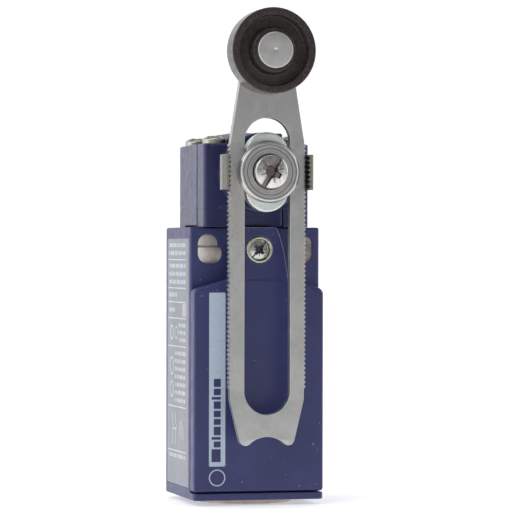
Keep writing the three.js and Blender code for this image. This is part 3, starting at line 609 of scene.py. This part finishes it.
def housing_look(p, normal):
    """Paint, bare casting in the holes, the machined boss, or painted shadow in the ledge groove of a
    fixing hole.
    """
    if in_ledge_groove(p):
        return 3
    from_cable_axis = math.hypot(p.x, p.y - CABLE_Y)
    if p.z < 0:
        return 2
    in_cable_hole = abs(normal.z) < 0.7 and from_cable_axis < CABLE_HOLE_R + 0.6 and p.z < CHAMBER_LOW
    return int(in_fixing_hole(p) or in_cable_hole)


SCREW_POST_X, SCREW_POST_Z = 9.1, 30.5
EARTH_X, EARTH_Z = -8.2, 11.5


def make_housing():
    w = HALF_WIDTH
    block = plate(rectangle(-w, w, FACE_Y, 0, 0.6), 0, SHOULDER_Z, "z", 0.3, 0.45)
    made = as_object(block)
    lip_plan = fillet((-w, FACE_Y + 1.5, 0), (-w, COVER_Y, 1.1), (w, COVER_Y, 1.1), (w, FACE_Y + 1.5, 0))
    boss = fillet((0, 1, 0), (11, 1, 0), (11, -BOSS_DROP, 0.3), (0, -BOSS_DROP, 0), closed=False)
    join(made, plate(lip_plan, 0, LIP_HEIGHT, "z", 0.35, 0.2), lathe(boss, "z", (0, CABLE_Y)))
    cut(made, box((-CHAMBER_X, CHAMBER_X), (CHAMBER_BACK, FACE_Y - 1), (CHAMBER_LOW, CHAMBER_HIGH)))
    for side in (-1, 1):
        join(made, plate(circle(side * SCREW_POST_X, SCREW_POST_Z, 2.6, 24), -4.3, CHAMBER_BACK + 0.5))
    join(made, plate(circle(EARTH_X, EARTH_Z, 3.2, 32), -7, CHAMBER_BACK + 0.5))
    cable_hole = hole(circle(0, CABLE_Y, CABLE_HOLE_R, 72), -BOSS_DROP, CHAMBER_LOW, "z", low_rim=0.5)
    channel = box((-4.5, 4.5), (-17.5, -9.9), (CHAMBER_HIGH - 1, 58.2))
    collar_bore = hole(circle(0, HEAD_Y, 7.4, 72), 58, SHOULDER_Z, "z", high_rim=0.2, beyond=0.0001)
    lock_hole = plate(circle(0, middle("head_lock_screw").z, 1.05, 24), FACE_Y - 1, HEAD_Y)
    screw_hole = plate(circle(0, COVER_SCREW_Z, 1.6, 24), FACE_Y - 1, -18.3)
    post_holes = [plate(circle(side * SCREW_POST_X, SCREW_POST_Z, 1.35, 20), -6, -1) for side in (-1, 1)]
    earth_hole = plate(circle(EARTH_X, EARTH_Z, 1.7, 20), -9, -3.4)
    label_bed = box((-w - 1, -w + 0.22), (-1.85, -23.4), (2.4, 58.8))
    cut(made, cable_hole, channel, collar_bore, lock_hole, screw_hole, *post_holes, earth_hole,
        label_bed, *fixing_holes())
    piece(made, "fine_housing", "switch_body",
          [case_paint, bare_casting, boss_face, painted_recess_shade], ["housing"], housing_look)


# ---------------- cover
TONGUE_STEP = 0.07  # the tongue's face lies that little behind the plate's
COVER_LOW = span("cover")[0].z


def make_cover():
    edge = span("cover")[1].x
    lower = fillet((0.0, 49.75, 0), (6.6, 49.75, 0), (edge, 47.35, 1.6), (edge, COVER_LOW, 0.65),
                   (0.0, COVER_LOW, 0))
    tongue = fillet((0.0, SHOULDER_Z, 0), (4.0, SHOULDER_Z, 0.7), (4.82, 59.2, 8), (5.7, 56.1, 14),
                    (6.8, 49.6, 0), (6.4, 46, 0), (0.0, 46, 0))
    face_y, back_y = COVER_Y + TONGUE_STEP, FACE_Y - SEAM
    made = as_object(plate(mirrored(lower[1:-1]), COVER_Y, back_y, "y", 0.6, 0.08, steps=4))
    join(made, plate(mirrored(tongue[1:-1]), face_y, back_y - 0.01, "y", 0.18, 0.08))
    tray = box((-13.5, 13.5), (FACE_Y, COVER_Y + 1.8), (COVER_LOW + 1.5, 45.4))
    counterbore = hole(circle(0, COVER_SCREW_Z, 3.1), face_y, COVER_Y + 1.9, low_rim=0.15, beyond=0.5)
    screw_hole = plate(circle(0, COVER_SCREW_Z, 1.65, 32), COVER_Y - 1, FACE_Y + 1)
    low, high = span("front_label")
    label_bed = box((low.x - 0.05, high.x + 0.05), (COVER_Y - 1, COVER_Y + 0.22),
                    (low.z - 0.05, high.z + 0.05))
    cut(made, tray, counterbore, screw_hole, label_bed)

    # the tongue's rounded edge faces take the paler paint, a painted highlight
    def on_tongue_edge(p, normal):
        return int(p.z > 49.8 and p.y < COVER_Y + 0.35 and -0.97 < normal.y < -0.2)

    piece(made, "fine_cover", "switch_body", [case_paint, edge_highlight_paint], ["cover"],
          on_tongue_edge)


# ---------------- head
HEAD_CORNER = 0.9
BAND_SHEET = 1.2  # how thick the bands are where they cover the base's edge
HEAD_SCREWS = [middle(f"head_screw_{i}") for i in (1, 2, 3, 4)]


def make_head_body():
    x, front, back = HEAD_HALF_X, HEAD_FRONT_Y, HEAD_BACK_Y
    band_low, _ = span("head_body")
    band_x = span("head_body")[1].x
    plan = rectangle(-x, x, front, back, HEAD_CORNER)
    made = as_object(plate(plan, HEAD_SEAM_Z + 0.03, HEAD_TOP_Z, "z", 0.07, 0.4))
    ends = rectangle(-BAND, BAND, front - 0.1, back, 0.6)
    sides = rectangle(-band_x, band_x, HEAD_Y - BAND, HEAD_Y + BAND, 0.5)
    snout_front = span("head_body")[0].y
    snout = fillet((0, front + 4, 0), (9, front + 4, 0), (9, snout_front, 0.7), (0, snout_front, 0),
                   closed=False)
    join(made, plate(ends, band_low.z, RIDGE_Z, "z", 0.15, 0.5),
         plate(sides, band_low.z, HEAD_TOP_Z, "z", 0.15, 0.4), lathe(snout, "y", CLAMP_AXIS))
    base_z, band_y = (60, HEAD_SEAM_Z + 0.1), (HEAD_Y - BAND - 2, HEAD_Y + BAND + 2)
    base_space = [box((-x + BAND_SHEET, x - BAND_SHEET), band_y, base_z),
                  box((-BAND - 2, BAND + 2), (front + BAND_SHEET, back - BAND_SHEET), base_z)]
    cavity = [box((-6.6, 6.6), (-3.4, -23.8), (HEAD_SEAM_Z - 1, 79.6)),
              box((-10.3, 10.3), (-8.6, -18.8), (HEAD_SEAM_Z - 1, 77.6))]
    front_bore = hole(circle(*CLAMP_AXIS, 6, 72), snout_front, -20, low_rim=0.25)
    rear_boss = plate(circle(0, PIVOT_Z, 6.2, 48), -7.6, -2.5)
    rear_bore = plate(circle(0, PIVOT_Z, 4.25, 48), -9, -3)
    screw_holes = [plate(circle(p.x, p.y, 1.6, 24), HEAD_SEAM_Z - 1, HEAD_TOP_Z + 1, "z")
                   for p in HEAD_SCREWS]
    cut(made, *base_space, *cavity)
    join(made, rear_boss)
    cut(made, front_bore, rear_bore, *screw_holes)
    piece(made, "fine_head_body", "switch_body", [head_paint], ["head_body"])


def make_head_base():
    x, front, back, gap = HEAD_HALF_X, HEAD_FRONT_Y, HEAD_BACK_Y, 0.15
    low_z = SHOULDER_Z + 0.05
    plan = rectangle(-x, x, front, back, HEAD_CORNER)
    made = as_object(plate(plan, low_z, HEAD_SEAM_Z, "z", 0.12, 0.07))
    collar_low = span("head_base")[0].z
    collar = fillet((0, collar_low, 0), (7.2, collar_low, 0.2), (7.2, 59, 0), (6.2, 59, 0), (6.2, 60, 0),
                    (7.2, 60, 0), (7.2, low_z + 1, 0), (0, low_z + 1, 0), closed=False)
    join(made, lathe(collar, "z", (0, HEAD_Y)))
    pocket = plate(circle(0, HEAD_Y, 5, 60), collar_low + 1.2, HEAD_SEAM_Z + 1, "z")
    stem_bore = plate(circle(0, HEAD_Y, 2.58, 40), collar_low - 1, HEAD_SEAM_Z - 0.7, "z")
    cut(made, pocket, stem_bore)
    inner_x, inner_y = x - BAND_SHEET - gap, (back - front) / 2 - BAND_SHEET - gap
    notches = []
    for side in (-1, 1):
        xs = sorted((side * inner_x, side * 20))
        notches.append(box(xs, (HEAD_Y - BAND - gap, HEAD_Y + BAND + gap), (60.5, HEAD_SEAM_Z + 1)))
        ys = sorted((HEAD_Y + side * inner_y, HEAD_Y + side * 20))
        notches.append(box((-BAND - gap, BAND + gap), ys, (60.5, HEAD_SEAM_Z + 1)))
    screw_holes = [plate(circle(p.x, p.y, 1.55, 24), low_z + 0.8, HEAD_SEAM_Z + 1, "z")
                   for p in HEAD_SCREWS]
    groove = lathe(rectangle(7.9, 9.7, 60.3, 62.25), "z", (0, HEAD_Y), 48)
    cut(made, *notches, *screw_holes, groove)
    piece(made, "fine_head_base", "switch_body", [head_paint], ["head_base"])


# ---------------- screws
def bar(angle, reach, half, depth):
    """A cutter for one straight groove through the middle of a screw head, its mouth at 0."""
    turn = cmath.rect(1, math.radians(angle))
    loop = [p * turn for p in rectangle(-reach, reach, -half, half, 0.4 * half)]
    return stack([(inset(loop, 0.15 * half), -depth), (loop, 0.1), (loop, 3)], "z")


def recess(size, angle):
    """A cross recess with a pit in its middle and four fine ticks between its arms."""
    pit_levels = ((0.38, -0.6 * size), (0.52, 0), (0.53, 3))
    pit = stack([(circle(0, 0, share * size, 32), along) for share, along in pit_levels], "z")
    arms = [bar(angle + 90 * k, 0.8 * size, 0.23 * size, 0.42 * size) for k in (0, 1)]
    ticks = [bar(angle + 45 + 90 * k, 0.9 * size, 0.05 * size, 0.2 * size) for k in (0, 1)]
    return [*arms, pit, *ticks]


UP, FORWARD = (0, 0, 1), (0, -1, 0)


def screw(node, body, head_r, head_height, shank_r, looks, cross, dome, edge=0.3, facing=FORWARD,
          slotted=0.0):
    """A pan-head machine screw with a cross recess of the size and turn in cross, and perhaps a slot.
    Its axis and length come from its CAD node. The last look, a painted shade, is for the recess's
    walls, and those after the first are for its floor, from the outside in, darkening inwards as painted
    shade."""
    low, high = span(node)
    axis = Vector(facing)
    centre = (low + high) / 2
    length = (high - low).dot(Vector([abs(c) for c in facing])) - head_height
    seat = centre + axis * ((length + head_height) / 2 - head_height)
    profile = fillet((0, -length, 0), (0.7 * shank_r, -length, 0), (shank_r, 0.4 - length, 0),
                     (shank_r, 0, 0), (head_r, 0, 0.12), (head_r, head_height - dome, edge),
                     (0.55 * head_r, head_height - 0.05, 4), (0, head_height, 0), closed=False)
    made = as_object(lathe(profile, "z"))
    tools = recess(*cross)
    if slotted:
        tools.append(bar(cross[1], 2 * head_r, slotted / 2, 0.24 * head_r))
    for tool in tools:
        tool.transform(Matrix.Translation((0, 0, head_height)))
    cut(made, *tools)
    turn = Matrix.Identity(4) if facing == UP else axis.to_track_quat("Z", "Y").to_matrix().to_4x4()
    made.data.transform(Matrix.Translation(seat) @ turn)

    def in_recess(p, normal):
        height = (Vector(p) - seat).dot(axis)
        radius = (Vector(p) - seat - axis * height).length
        skin = head_height - dome * (radius / head_r) ** 2 - 0.1
        if not (0.2 < height < skin and radius < head_r - 0.08):
            return 0
        # the walls take the last look and the floor darkens towards the middle: painted shade in the
        # recess
        if abs(normal.dot(axis)) < 0.7:
            return len(looks) - 1
        return 1 if radius > 0.45 * cross[0] else max(1, len(looks) - 2)

    piece(made, f"fine_{node}", body, looks, [node], in_recess)


def make_screws():
    for i in range(1, 5):
        screw(f"head_screw_{i}", "switch_body", 2.65, 1.95, 1.45, [zinc_dark, painted_recess_shade],
              cross=(2.2, 25 * i), dome=0.85, edge=0.5, facing=UP)
    screw("cover_screw", "switch_body", 2.35, 1.25, 1.5, [cover_screw_steel, painted_recess_shade],
          cross=(1.7, 48), dome=0.3, slotted=0.35)
    screw("clamp_screw", "carrier", 3.75, 2.5, 2.4, [screw_steel, slot_brown, recess_brown, painted_recess_shade],
          cross=(2.85, 60), dome=0.4, edge=0.4, slotted=1.3)


def make_ferrule():
    low, high = span("cover_screw_ferrule")
    outer, bore, wall, front = high.x, 1.65, 2.43, low.y
    floor_y = span("cover_screw")[0].y + 1.3
    profile = fillet((bore, high.y, 0), (outer, high.y, 0), (outer, front, 0.3), (wall, front, 0.18),
                     (wall, floor_y, 0.05), (bore, floor_y, 0))
    made = as_object(lathe(profile, "y", (0, COVER_SCREW_Z)))
    piece(made, "fine_ferrule", "switch_body", [ferrule_metal], ["cover_screw_ferrule"])


# ---------------- lever clamp
CARRIER_TEETH = 7
TOOTH_PITCH = 1.03
TOOTH_TIP_X, TOOTH_ROOT_X = 8.95, 9.35
SHAFT_HOLE_R = 3.66


def make_carrier():
    low, high = span("lever_carrier")
    half, back, front, bend, sheet = high.x, high.y, low.y, 1.6, 1.2
    tip = TOOTH_TIP_X
    section = fillet((-half, front, 0.35), (-tip, front, 0.15), (-tip, back - sheet, 0.15),
                     (tip, back - sheet, 0.15), (tip, front, 0.15), (half, front, 0.35),
                     (half, back, bend), (-half, back, bend))
    made = as_object(plate(section, low.z, high.z, "z", 0.12, 0.12, steps=2))
    grooves = []
    first = (low.z + high.z) / 2 - (CARRIER_TEETH - 1) / 2 * TOOTH_PITCH
    for side in (-1, 1):
        for i in range(CARRIER_TEETH):
            z = first + i * TOOTH_PITCH
            half_wedge = ((8, 0.47), (tip, 0.47), (TOOTH_ROOT_X, 0.05))
            wedge = [complex(side * x, z + dz) for x, dz in half_wedge]
            wedge += [complex(side * x, z - dz) for x, dz in reversed(half_wedge)]
            grooves.append(plate(wedge, front - 1, back - sheet - 0.05))
    shaft_hole = plate(circle(*CLAMP_AXIS, SHAFT_HOLE_R, 48), front, back + 1)
    cut(made, shaft_hole, *grooves)
    piece(made, "fine_lever_carrier", "carrier", [flange_zinc, edge_zinc],
          ["lever_carrier"], lambda p, normal: int(normal.y < -0.7 and p.y < front + 0.4))


def make_guide_block():
    low, high = span("guide_block")
    r = 5.0
    flange_y = high.y - 1.5
    block = obround(0, low.z + r, high.z - r, r, 28)
    made = as_object(plate(block, low.y, flange_y + 0.3, "y", 0.35))
    flange = rectangle(low.x, high.x, PIVOT_Z - 3.72, PIVOT_Z + 3.7, 0.4)
    join(made, plate(flange, flange_y, high.y, "y", 0.15, 0.15, steps=2))
    cut(made, plate(circle(*CLAMP_AXIS, SHAFT_HOLE_R, 48), low.y - 1, high.y + 1))
    piece(made, "fine_guide_block", "carrier", [guide_zinc], ["guide_block"])


def make_cup_washer():
    low, high = span("cup_washer")
    r, back, front = high.x, high.y, low.y
    profile = fillet((2.6, back, 0.1), (r - 0.1, back, 0.15), (r, front + 0.75, 0.35),
                     (r - 0.5, front, 0.45), (3.95, front, 0.22), (3.95, front + 1.2, 0.15),
                     (2.6, front + 1.2, 0.1))
    made = as_object(lathe(profile, "y", CLAMP_AXIS, 128))
    # the flat front face takes the darker copy, a painted shade
    piece(made, "fine_cup_washer", "carrier", [cup_zinc, cup_face], ["cup_washer"],
          lambda p, normal: int(normal.y < -0.95))


def make_spring_washer():
    low, high = span("spring_washer")
    made = as_object(lathe(rectangle(2.55, high.x, low.y, high.y, 0.1), "y", CLAMP_AXIS, 64))
    gap = box((-0.25, 0.25), (low.y - 1, high.y + 1), (PIVOT_Z, PIVOT_Z + 6))
    cut(made, turned(gap, 35, "Y", (0, 0, PIVOT_Z)))
    piece(made, "fine_spring_washer", "carrier", [steel], ["spring_washer"])


# ---------------- lever and roller
LEVER_TEETH = 53
LEVER_ROOT_X = 8.45
END_R, NECK_Z, NECK_LEAN = 5.2, 80.2, math.atan2(1.75, 10.2)
TOOTHED_FROM_Z, TAPER_Z = 25.2, 22.9
FOOT_R, FOOT_X, ARCH_R, ARCH_TOP_Z = 1.4, 4.9, 5.8, 14.6


def lever_outline():
    """Round end, tapered neck, two toothed sides, and two feet with an arch between them."""
    tip_x, root_x = span("lever_plate")[1].x, LEVER_ROOT_X
    right = arc(complex(0, ROLLER_Z), END_R, 89.5, math.degrees(NECK_LEAN), 24)
    right.append(complex(root_x, NECK_Z))
    for i in range(LEVER_TEETH, 0, -1):
        right.append(complex(root_x, TOOTHED_FROM_Z + i * TOOTH_PITCH))
        right.append(complex(tip_x, TOOTHED_FROM_Z + (i - 0.5) * TOOTH_PITCH))
    right += [complex(root_x, TOOTHED_FROM_Z), complex(root_x, TAPER_Z + 0.3),
              complex(root_x - 0.07, TAPER_Z - 0.3)]
    arch_z = ARCH_TOP_Z - ARCH_R
    foot_z = arch_z + math.sqrt((ARCH_R + FOOT_R) ** 2 - FOOT_X ** 2)
    meet = math.degrees(math.atan2(foot_z - arch_z, FOOT_X))
    right += arc(complex(FOOT_X, foot_z), FOOT_R, -12.6, meet - 180, 16)
    right += arc(complex(0, arch_z), ARCH_R, meet + 2, 89.5, 12)
    return mirrored(right)


def make_lever():
    low, high = span("lever_plate")
    made = as_object(plate(lever_outline(), low.y, high.y, "y", 0.13, 0.07, steps=2))
    slot_low, slot_high, half = 24.8, 80.3, 5.2
    slot = hole(obround(0, slot_low, slot_high, half, 36), low.y, high.y, low_rim=0.2, high_rim=0.1)
    cut(made, slot, plate(circle(*ROLLER_AXIS, 2.43, 32), low.y - 1, high.y + 1))
    piece(made, "fine_lever", "lever", [zinc], ["lever_plate"])


def make_roller():
    low, high = span("roller")
    r, back, front, bore = high.x, high.y, low.y, 3.25
    web_front, web_back = front + 2.4, back - 0.5
    profile = fillet((bore, back, 0.1), (5.3, back, 0.15), (5.5, web_back, 0.2), (7.7, web_back, 0.2),
                     (7.9, back, 0.15), (r, back, 0.4), (r, front, 0.25), (7.96, front, 0.15),
                     (7.72, web_front, 0.3), (5.3, web_front, 0.3), (4.8, front + 0.05, 0.2),
                     (bore, front + 0.05, 0.1))
    made = as_object(lathe(profile, "y", ROLLER_AXIS, 160))
    piece(made, "fine_roller", "roller", [roller_plastic], ["roller"])


def make_pin():
    low, high = span("roller_pin")
    head_r, front, back, shank = high.x, low.y, high.y, 2.4
    seat = span("roller")[0].y - 0.15
    tail_seat = span("pin_washer")[1].y + 0.05
    tail = ((0, back - 0.25, 0), (0.7, back - 0.25, 0.1), (1.0, back, 0.2), (2.4, back, 0.4),
            (3.3, back - 0.45, 0.3), (3.3, tail_seat, 0.1), (shank, tail_seat, 0))
    head = ((shank, seat, 0), (head_r, seat, 0.1), (head_r, front, 0.22), (0.5, front, 0.2),
            (0.2, front + 0.07, 0.2), (0, front + 0.08, 0))
    made = as_object(lathe(fillet(*tail, *head, closed=False), "y", ROLLER_AXIS, 128))
    piece(made, "fine_roller_pin", "lever", [pin_steel], ["roller_pin"])
    low, high = span("pin_washer")
    ring = as_object(lathe(rectangle(2.43, high.x, low.y, high.y, 0.1), "y", ROLLER_AXIS))
    piece(ring, "fine_pin_washer", "lever", [zinc], ["pin_washer"])


# ---------------- springs
def coil(x, y, low, high, radius, wire, turns, sides=12, per_turn=32):
    """A spring of round wire about an upright axis, as one closed solid."""
    bm = bmesh.new()
    count = turns * per_turn
    section = [cmath.rect(wire, math.tau * i / sides) for i in range(sides)]
    rows = []
    for k in range(count + 1):
        out = cmath.rect(1, math.tau * k / per_turn)
        z = low + wire + (high - low - 2 * wire) * k / count
        ring = [(complex(x, y) + (radius + p.real) * out, z + p.imag) for p in section]
        rows.append([bm.verts.new((p.real, p.imag, height)) for p, height in ring])
    for a, b in zip(rows, rows[1:]):
        for i in range(sides):
            j = (i + 1) % sides
            bm.faces.new((a[i], a[j], b[j], b[i]))
    bm.faces.new(rows[0])
    bm.faces.new(rows[-1])
    bmesh.ops.recalc_face_normals(bm, faces=bm.faces)
    return bm


def make_spring(node, x, y, radius, wire, turns):
    """A spring between the switch body and the piece that squeezes it."""
    low, high = (corner.z for corner in span(node))
    made = as_object(coil(x, y, low, high, radius, wire, turns), f"fine_{node}")
    made.data.materials.append(steel)
    made.data.transform(INTO_FRAME)
    made.data.shade_smooth()
    bottom, top = (INTO_FRAME @ Vector((x, y, z)) for z in (low, high))
    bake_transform(made)
    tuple(bottom)
    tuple(top)
    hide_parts(node)


def make_springs():
    make_spring("return_spring", 0, HEAD_Y, 3.9, 0.4, 4)
    make_spring("contact_spring", 0, middle("contact_plunger").y, 1.5, 0.28, 4)


# ---------------- labels
INK = 0.015  # how far the print stands off its label


def flat_bars(name, axis, level, bars, look):
    """Printed marks: thin closed plates on a face across the axis, whose outside is its lower side."""
    made = bmesh.new()
    for loop in bars:
        part = stack([(loop, level - INK), (loop, level)], axis)
        mesh = bpy.data.meshes.new("bar")
        part.to_mesh(mesh)
        part.free()
        made.from_mesh(mesh)
        bpy.data.meshes.remove(mesh)
    piece(as_object(made), name, "switch_body", [look])


def greeked(rng, x0, x1, z0, z1, rows, fill=0.6):
    """Rows of short upright marks in groups, which stand for lines of small print."""
    pitch = (z1 - z0) / rows
    for row in range(rows):
        z = z1 - (row + 0.5) * pitch
        x, left = x0, rng.randint(3, 7)
        while x < x1 - 0.4:
            width, tall = rng.uniform(0.22, 0.55), rng.uniform(0.7, 1.0) * fill * pitch / 2
            yield rectangle(x, x + width, z - tall, z + tall, 0.06)
            left -= 1
            x += width + (0.2 if left else 0.75)
            left = left or rng.randint(3, 7)


def make_front_label():
    low, high = span("front_label")
    strip = rectangle(low.x, high.x, low.z, high.z, 0.25)
    made = as_object(plate(strip, low.y - 0.02, high.y, "y", 0.04))
    piece(made, "fine_front_label", "switch_body", [label_blue], ["front_label"])
    bars = []
    z, middle_x = low.z + 1.0, (low.x + high.x) / 2
    for tall, length in ((1.3, 2.88), (0.8, 1.32), (1.3, 0.6), (0.8, 1.92), (0.8, 1.32), (0.8, 1.44),
                         (0.8, 1.68), (1.3, 0.6), (0.8, 1.44), (0.8, 1.8)):
        bars.append(rectangle(middle_x - tall, middle_x + 0.8, z, z + length, 0.12))
        z += length + 0.4
    flat_bars("front_label_print", "y", low.y - 0.02, bars, print_navy)
    outer, inner = circle(middle_x, 5.15, 1.9, 48), circle(middle_x, 5.15, 1.62, 48)
    ring = as_object(plate(outer, COVER_Y - INK, COVER_Y + 0.05))
    cut(ring, plate(inner, COVER_Y - 1, COVER_Y + 1))
    piece(ring, "front_ring_print", "switch_body", [print_pale])


def make_side_label():
    low, high = span("side_label")
    sheet = rectangle(low.y, high.y, low.z, high.z, 0.3)
    made = as_object(plate(sheet, low.x - 0.01, high.x, "x", 0.03))
    piece(made, "fine_side_label", "switch_body", [label_grey], ["side_label"])
    rng = random.Random(5)
    y0, y1 = low.y + 2.6, high.y - 0.9
    bars = [rectangle(y0, y1, z - 0.13, z + 0.13) for z in (53.9, 47.4, 44.2, 40.5, 34.1, 20.3, 10.2)]
    bars += greeked(rng, y0 + 0.4, y1 - 0.6, 54.5, 58.1, 2)
    bars += greeked(rng, y0 + 0.4, y1 - 0.6, 47.9, 53.4, 3)
    bars += greeked(rng, y0 + 9, y1 - 0.6, 44.9, 46.8, 1)
    bars += greeked(rng, y0 + 11, y1 - 1.2, 41.5, 43.3, 1)
    bars += [rectangle(y0 + k * 0.75, y0 + k * 0.75 + 0.4, 41.0, 43.9) for k in range(5)]
    bars += greeked(rng, y0 + 0.5, y0 + 7.5, 34.8, 39.8, 3)
    bars += greeked(rng, y0 + 0.5, y0 + 11, 20.9, 33.4, 7)
    bars += greeked(rng, y0 + 0.4, y1 - 0.6, 8.4, 9.7, 1, fill=0.8)
    bars += contact_diagram((y0 + y1) / 2, 15.2)
    flat_bars("side_label_print", "x", low.x - 0.01, bars, print_white)
    marks = []
    for z, r in ((29.5, 2.1), (24.2, 1.9), (37.2, 1.7)):
        marks.append((circle(y1 - 3.6, z, r, 40), circle(y1 - 3.6, z, r - 0.35, 40)))
    marks.append((circle(y1 - 8.2, 37.2, 1.5, 40), circle(y1 - 8.2, 37.2, 1.2, 40)))
    for i, (outer, inner) in enumerate(marks):
        ring = as_object(plate(outer, low.x - 0.01 - INK, low.x + 0.02, "x"))
        cut(ring, plate(inner, low.x - 1, low.x + 1, "x"))
        piece(ring, f"side_ring_print_{i + 1}", "switch_body", [print_white])


def contact_diagram(y, z):
    """Two plain switch contacts and their leads, as thin strokes."""
    def stroke(a, b, width=0.26):
        along = (b - a) / abs(b - a)
        side = along * 1j * width / 2
        return [a - side, b - side, b + side, a + side]
    strokes = []
    for at in (y + 4.6, y + 1.4):
        strokes += [stroke(complex(at, z + 3.6), complex(at, z + 1.0)),
                    stroke(complex(at, z - 1.0), complex(at, z - 3.6)),
                    stroke(complex(at, z - 1.0), complex(at - 0.9, z + 0.9))]
    strokes.append(stroke(complex(y + 4.1, z), complex(y + 0.9, z)))
    strokes += [stroke(complex(y - 2.2, z - 1.6), complex(y - 3.4, z + 1.8)),
                stroke(complex(y - 4.4, z + 2.4), complex(y - 4.4, z - 2.4)),
                stroke(complex(y - 5.6, z + 1.0), complex(y - 7.0, z - 2.0))]
    return strokes


# ---------------- nodes kept from the CAD
def dress_kept_nodes():
    """The inner parts keep their CAD shape and get a better material."""
    looks = {"bright_steel": steel, "zinc_plate": zinc, "brass": brass, "bronze": bronze,
             "rubber": rubber, "grey_plastic": grey_plastic, "red_plastic": red_plastic}
    slots = {part["node"]: part["material_slot"] for part in frame["record"]["subparts"]}
    for name, node in frame["nodes"].items():
        if node.hide_render:
            continue
        node.data.materials.clear()
        node.data.materials.append(looks[slots[name]])


# ---------------- studio
def add_light(name, place_m, aim, size, power, colour=(1, 1, 1)):
    data = bpy.data.lights.new(name, "AREA")
    data.shape, data.size, data.energy, data.color = "DISK", size, power, colour
    lamp = bpy.data.objects.new(name, data)
    lamp.location = place_m
    lamp.rotation_euler = (Vector(aim) - Vector(place_m)).to_track_quat("-Z", "Y").to_euler()
    bpy.context.scene.collection.objects.link(lamp)


def make_floor():
    """A round floor with a curved wall behind and beside the object, and none in front."""
    reach, rise, curve, step = 2.2, 2.4, 0.6, 6
    floor_z, front_from, front_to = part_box("housing")[0].z, 210, 330
    profile = arc(complex(reach - curve, curve), curve, -90, 0, 12) + [complex(reach, rise)]
    bm = bmesh.new()
    centre_point = bm.verts.new((0, 0, floor_z))
    rows = []
    for angle in range(0, 360, step):
        out = cmath.rect(1, math.radians(angle))
        places = [(p.real * out.real, p.real * out.imag, p.imag + floor_z) for p in profile]
        rows.append([bm.verts.new(p) for p in places])
    for k, (a, b) in enumerate(zip(rows, rows[1:] + rows[:1])):
        bm.faces.new((centre_point, a[0], b[0]))
        if not front_from <= k * step < front_to:
            for i in range(len(profile) - 1):
                bm.faces.new((a[i], a[i + 1], b[i + 1], b[i]))
    floor = as_object(bm, "floor")
    floor.data.shade_smooth()
    look = Look("floor_white", roughness=0.9)
    look.colour(look.mix(look.between(look.noise(0.02)), (0.86, 0.86, 0.87), (0.9, 0.9, 0.9)))
    look.shader.inputs["Emission Color"].default_value = (1, 1, 1, 1)
    look.shader.inputs["Emission Strength"].default_value = 0.46
    floor.data.materials.append(look.material)


def make_lights():
    world = bpy.data.worlds.new("studio")
    bpy.context.scene.world = world
    world.use_nodes = True
    back = world.node_tree.nodes["Background"]
    back.inputs["Color"].default_value = (0.95, 0.97, 1.0, 1)
    back.inputs["Strength"].default_value = 0.165
    centre = (0, -0.02, 0)
    add_light("key", (-0.75, -0.75, 0.75), centre, 0.6, 3.5)
    add_light("top", (0.0, -0.1, 1.0), centre, 0.7, 2.3)
    add_light("left", (-1.1, 0.15, 0.2), centre, 0.9, 2.2, (0.84, 0.92, 1.0))
    add_light("right", (0.9, -0.5, 0.3), centre, 0.5, 1.1)


def make_camera():
    """From the left of the front, level, with a long lens."""
    data = bpy.data.cameras.new("camera")
    data.sensor_width, data.lens = 36, 212.2
    data.clip_start, data.clip_end = 0.05, 20
    camera = bpy.data.objects.new("camera", data)
    camera.location = (-0.1687, -0.6888, -0.00003)
    forward = Vector((0.24709, 0.96899, -0.00267))
    upright = forward.to_track_quat("-Z", "Y").to_matrix().to_4x4()
    camera.rotation_euler = (upright @ Matrix.Rotation(math.radians(0.11), 4, "Z")).to_euler()
    bpy.context.scene.collection.objects.link(camera)
    bpy.context.scene.camera = camera


make_camera()
make_floor()
make_lights()
make_housing()
make_cover()
make_head_body()
make_head_base()
make_screws()
make_ferrule()
make_carrier()
make_guide_block()
make_cup_washer()
make_spring_washer()
make_lever()
make_roller()
make_pin()
make_springs()
make_front_label()
make_side_label()
dress_kept_nodes()
bpy.context.scene.view_settings.view_transform = "Standard"
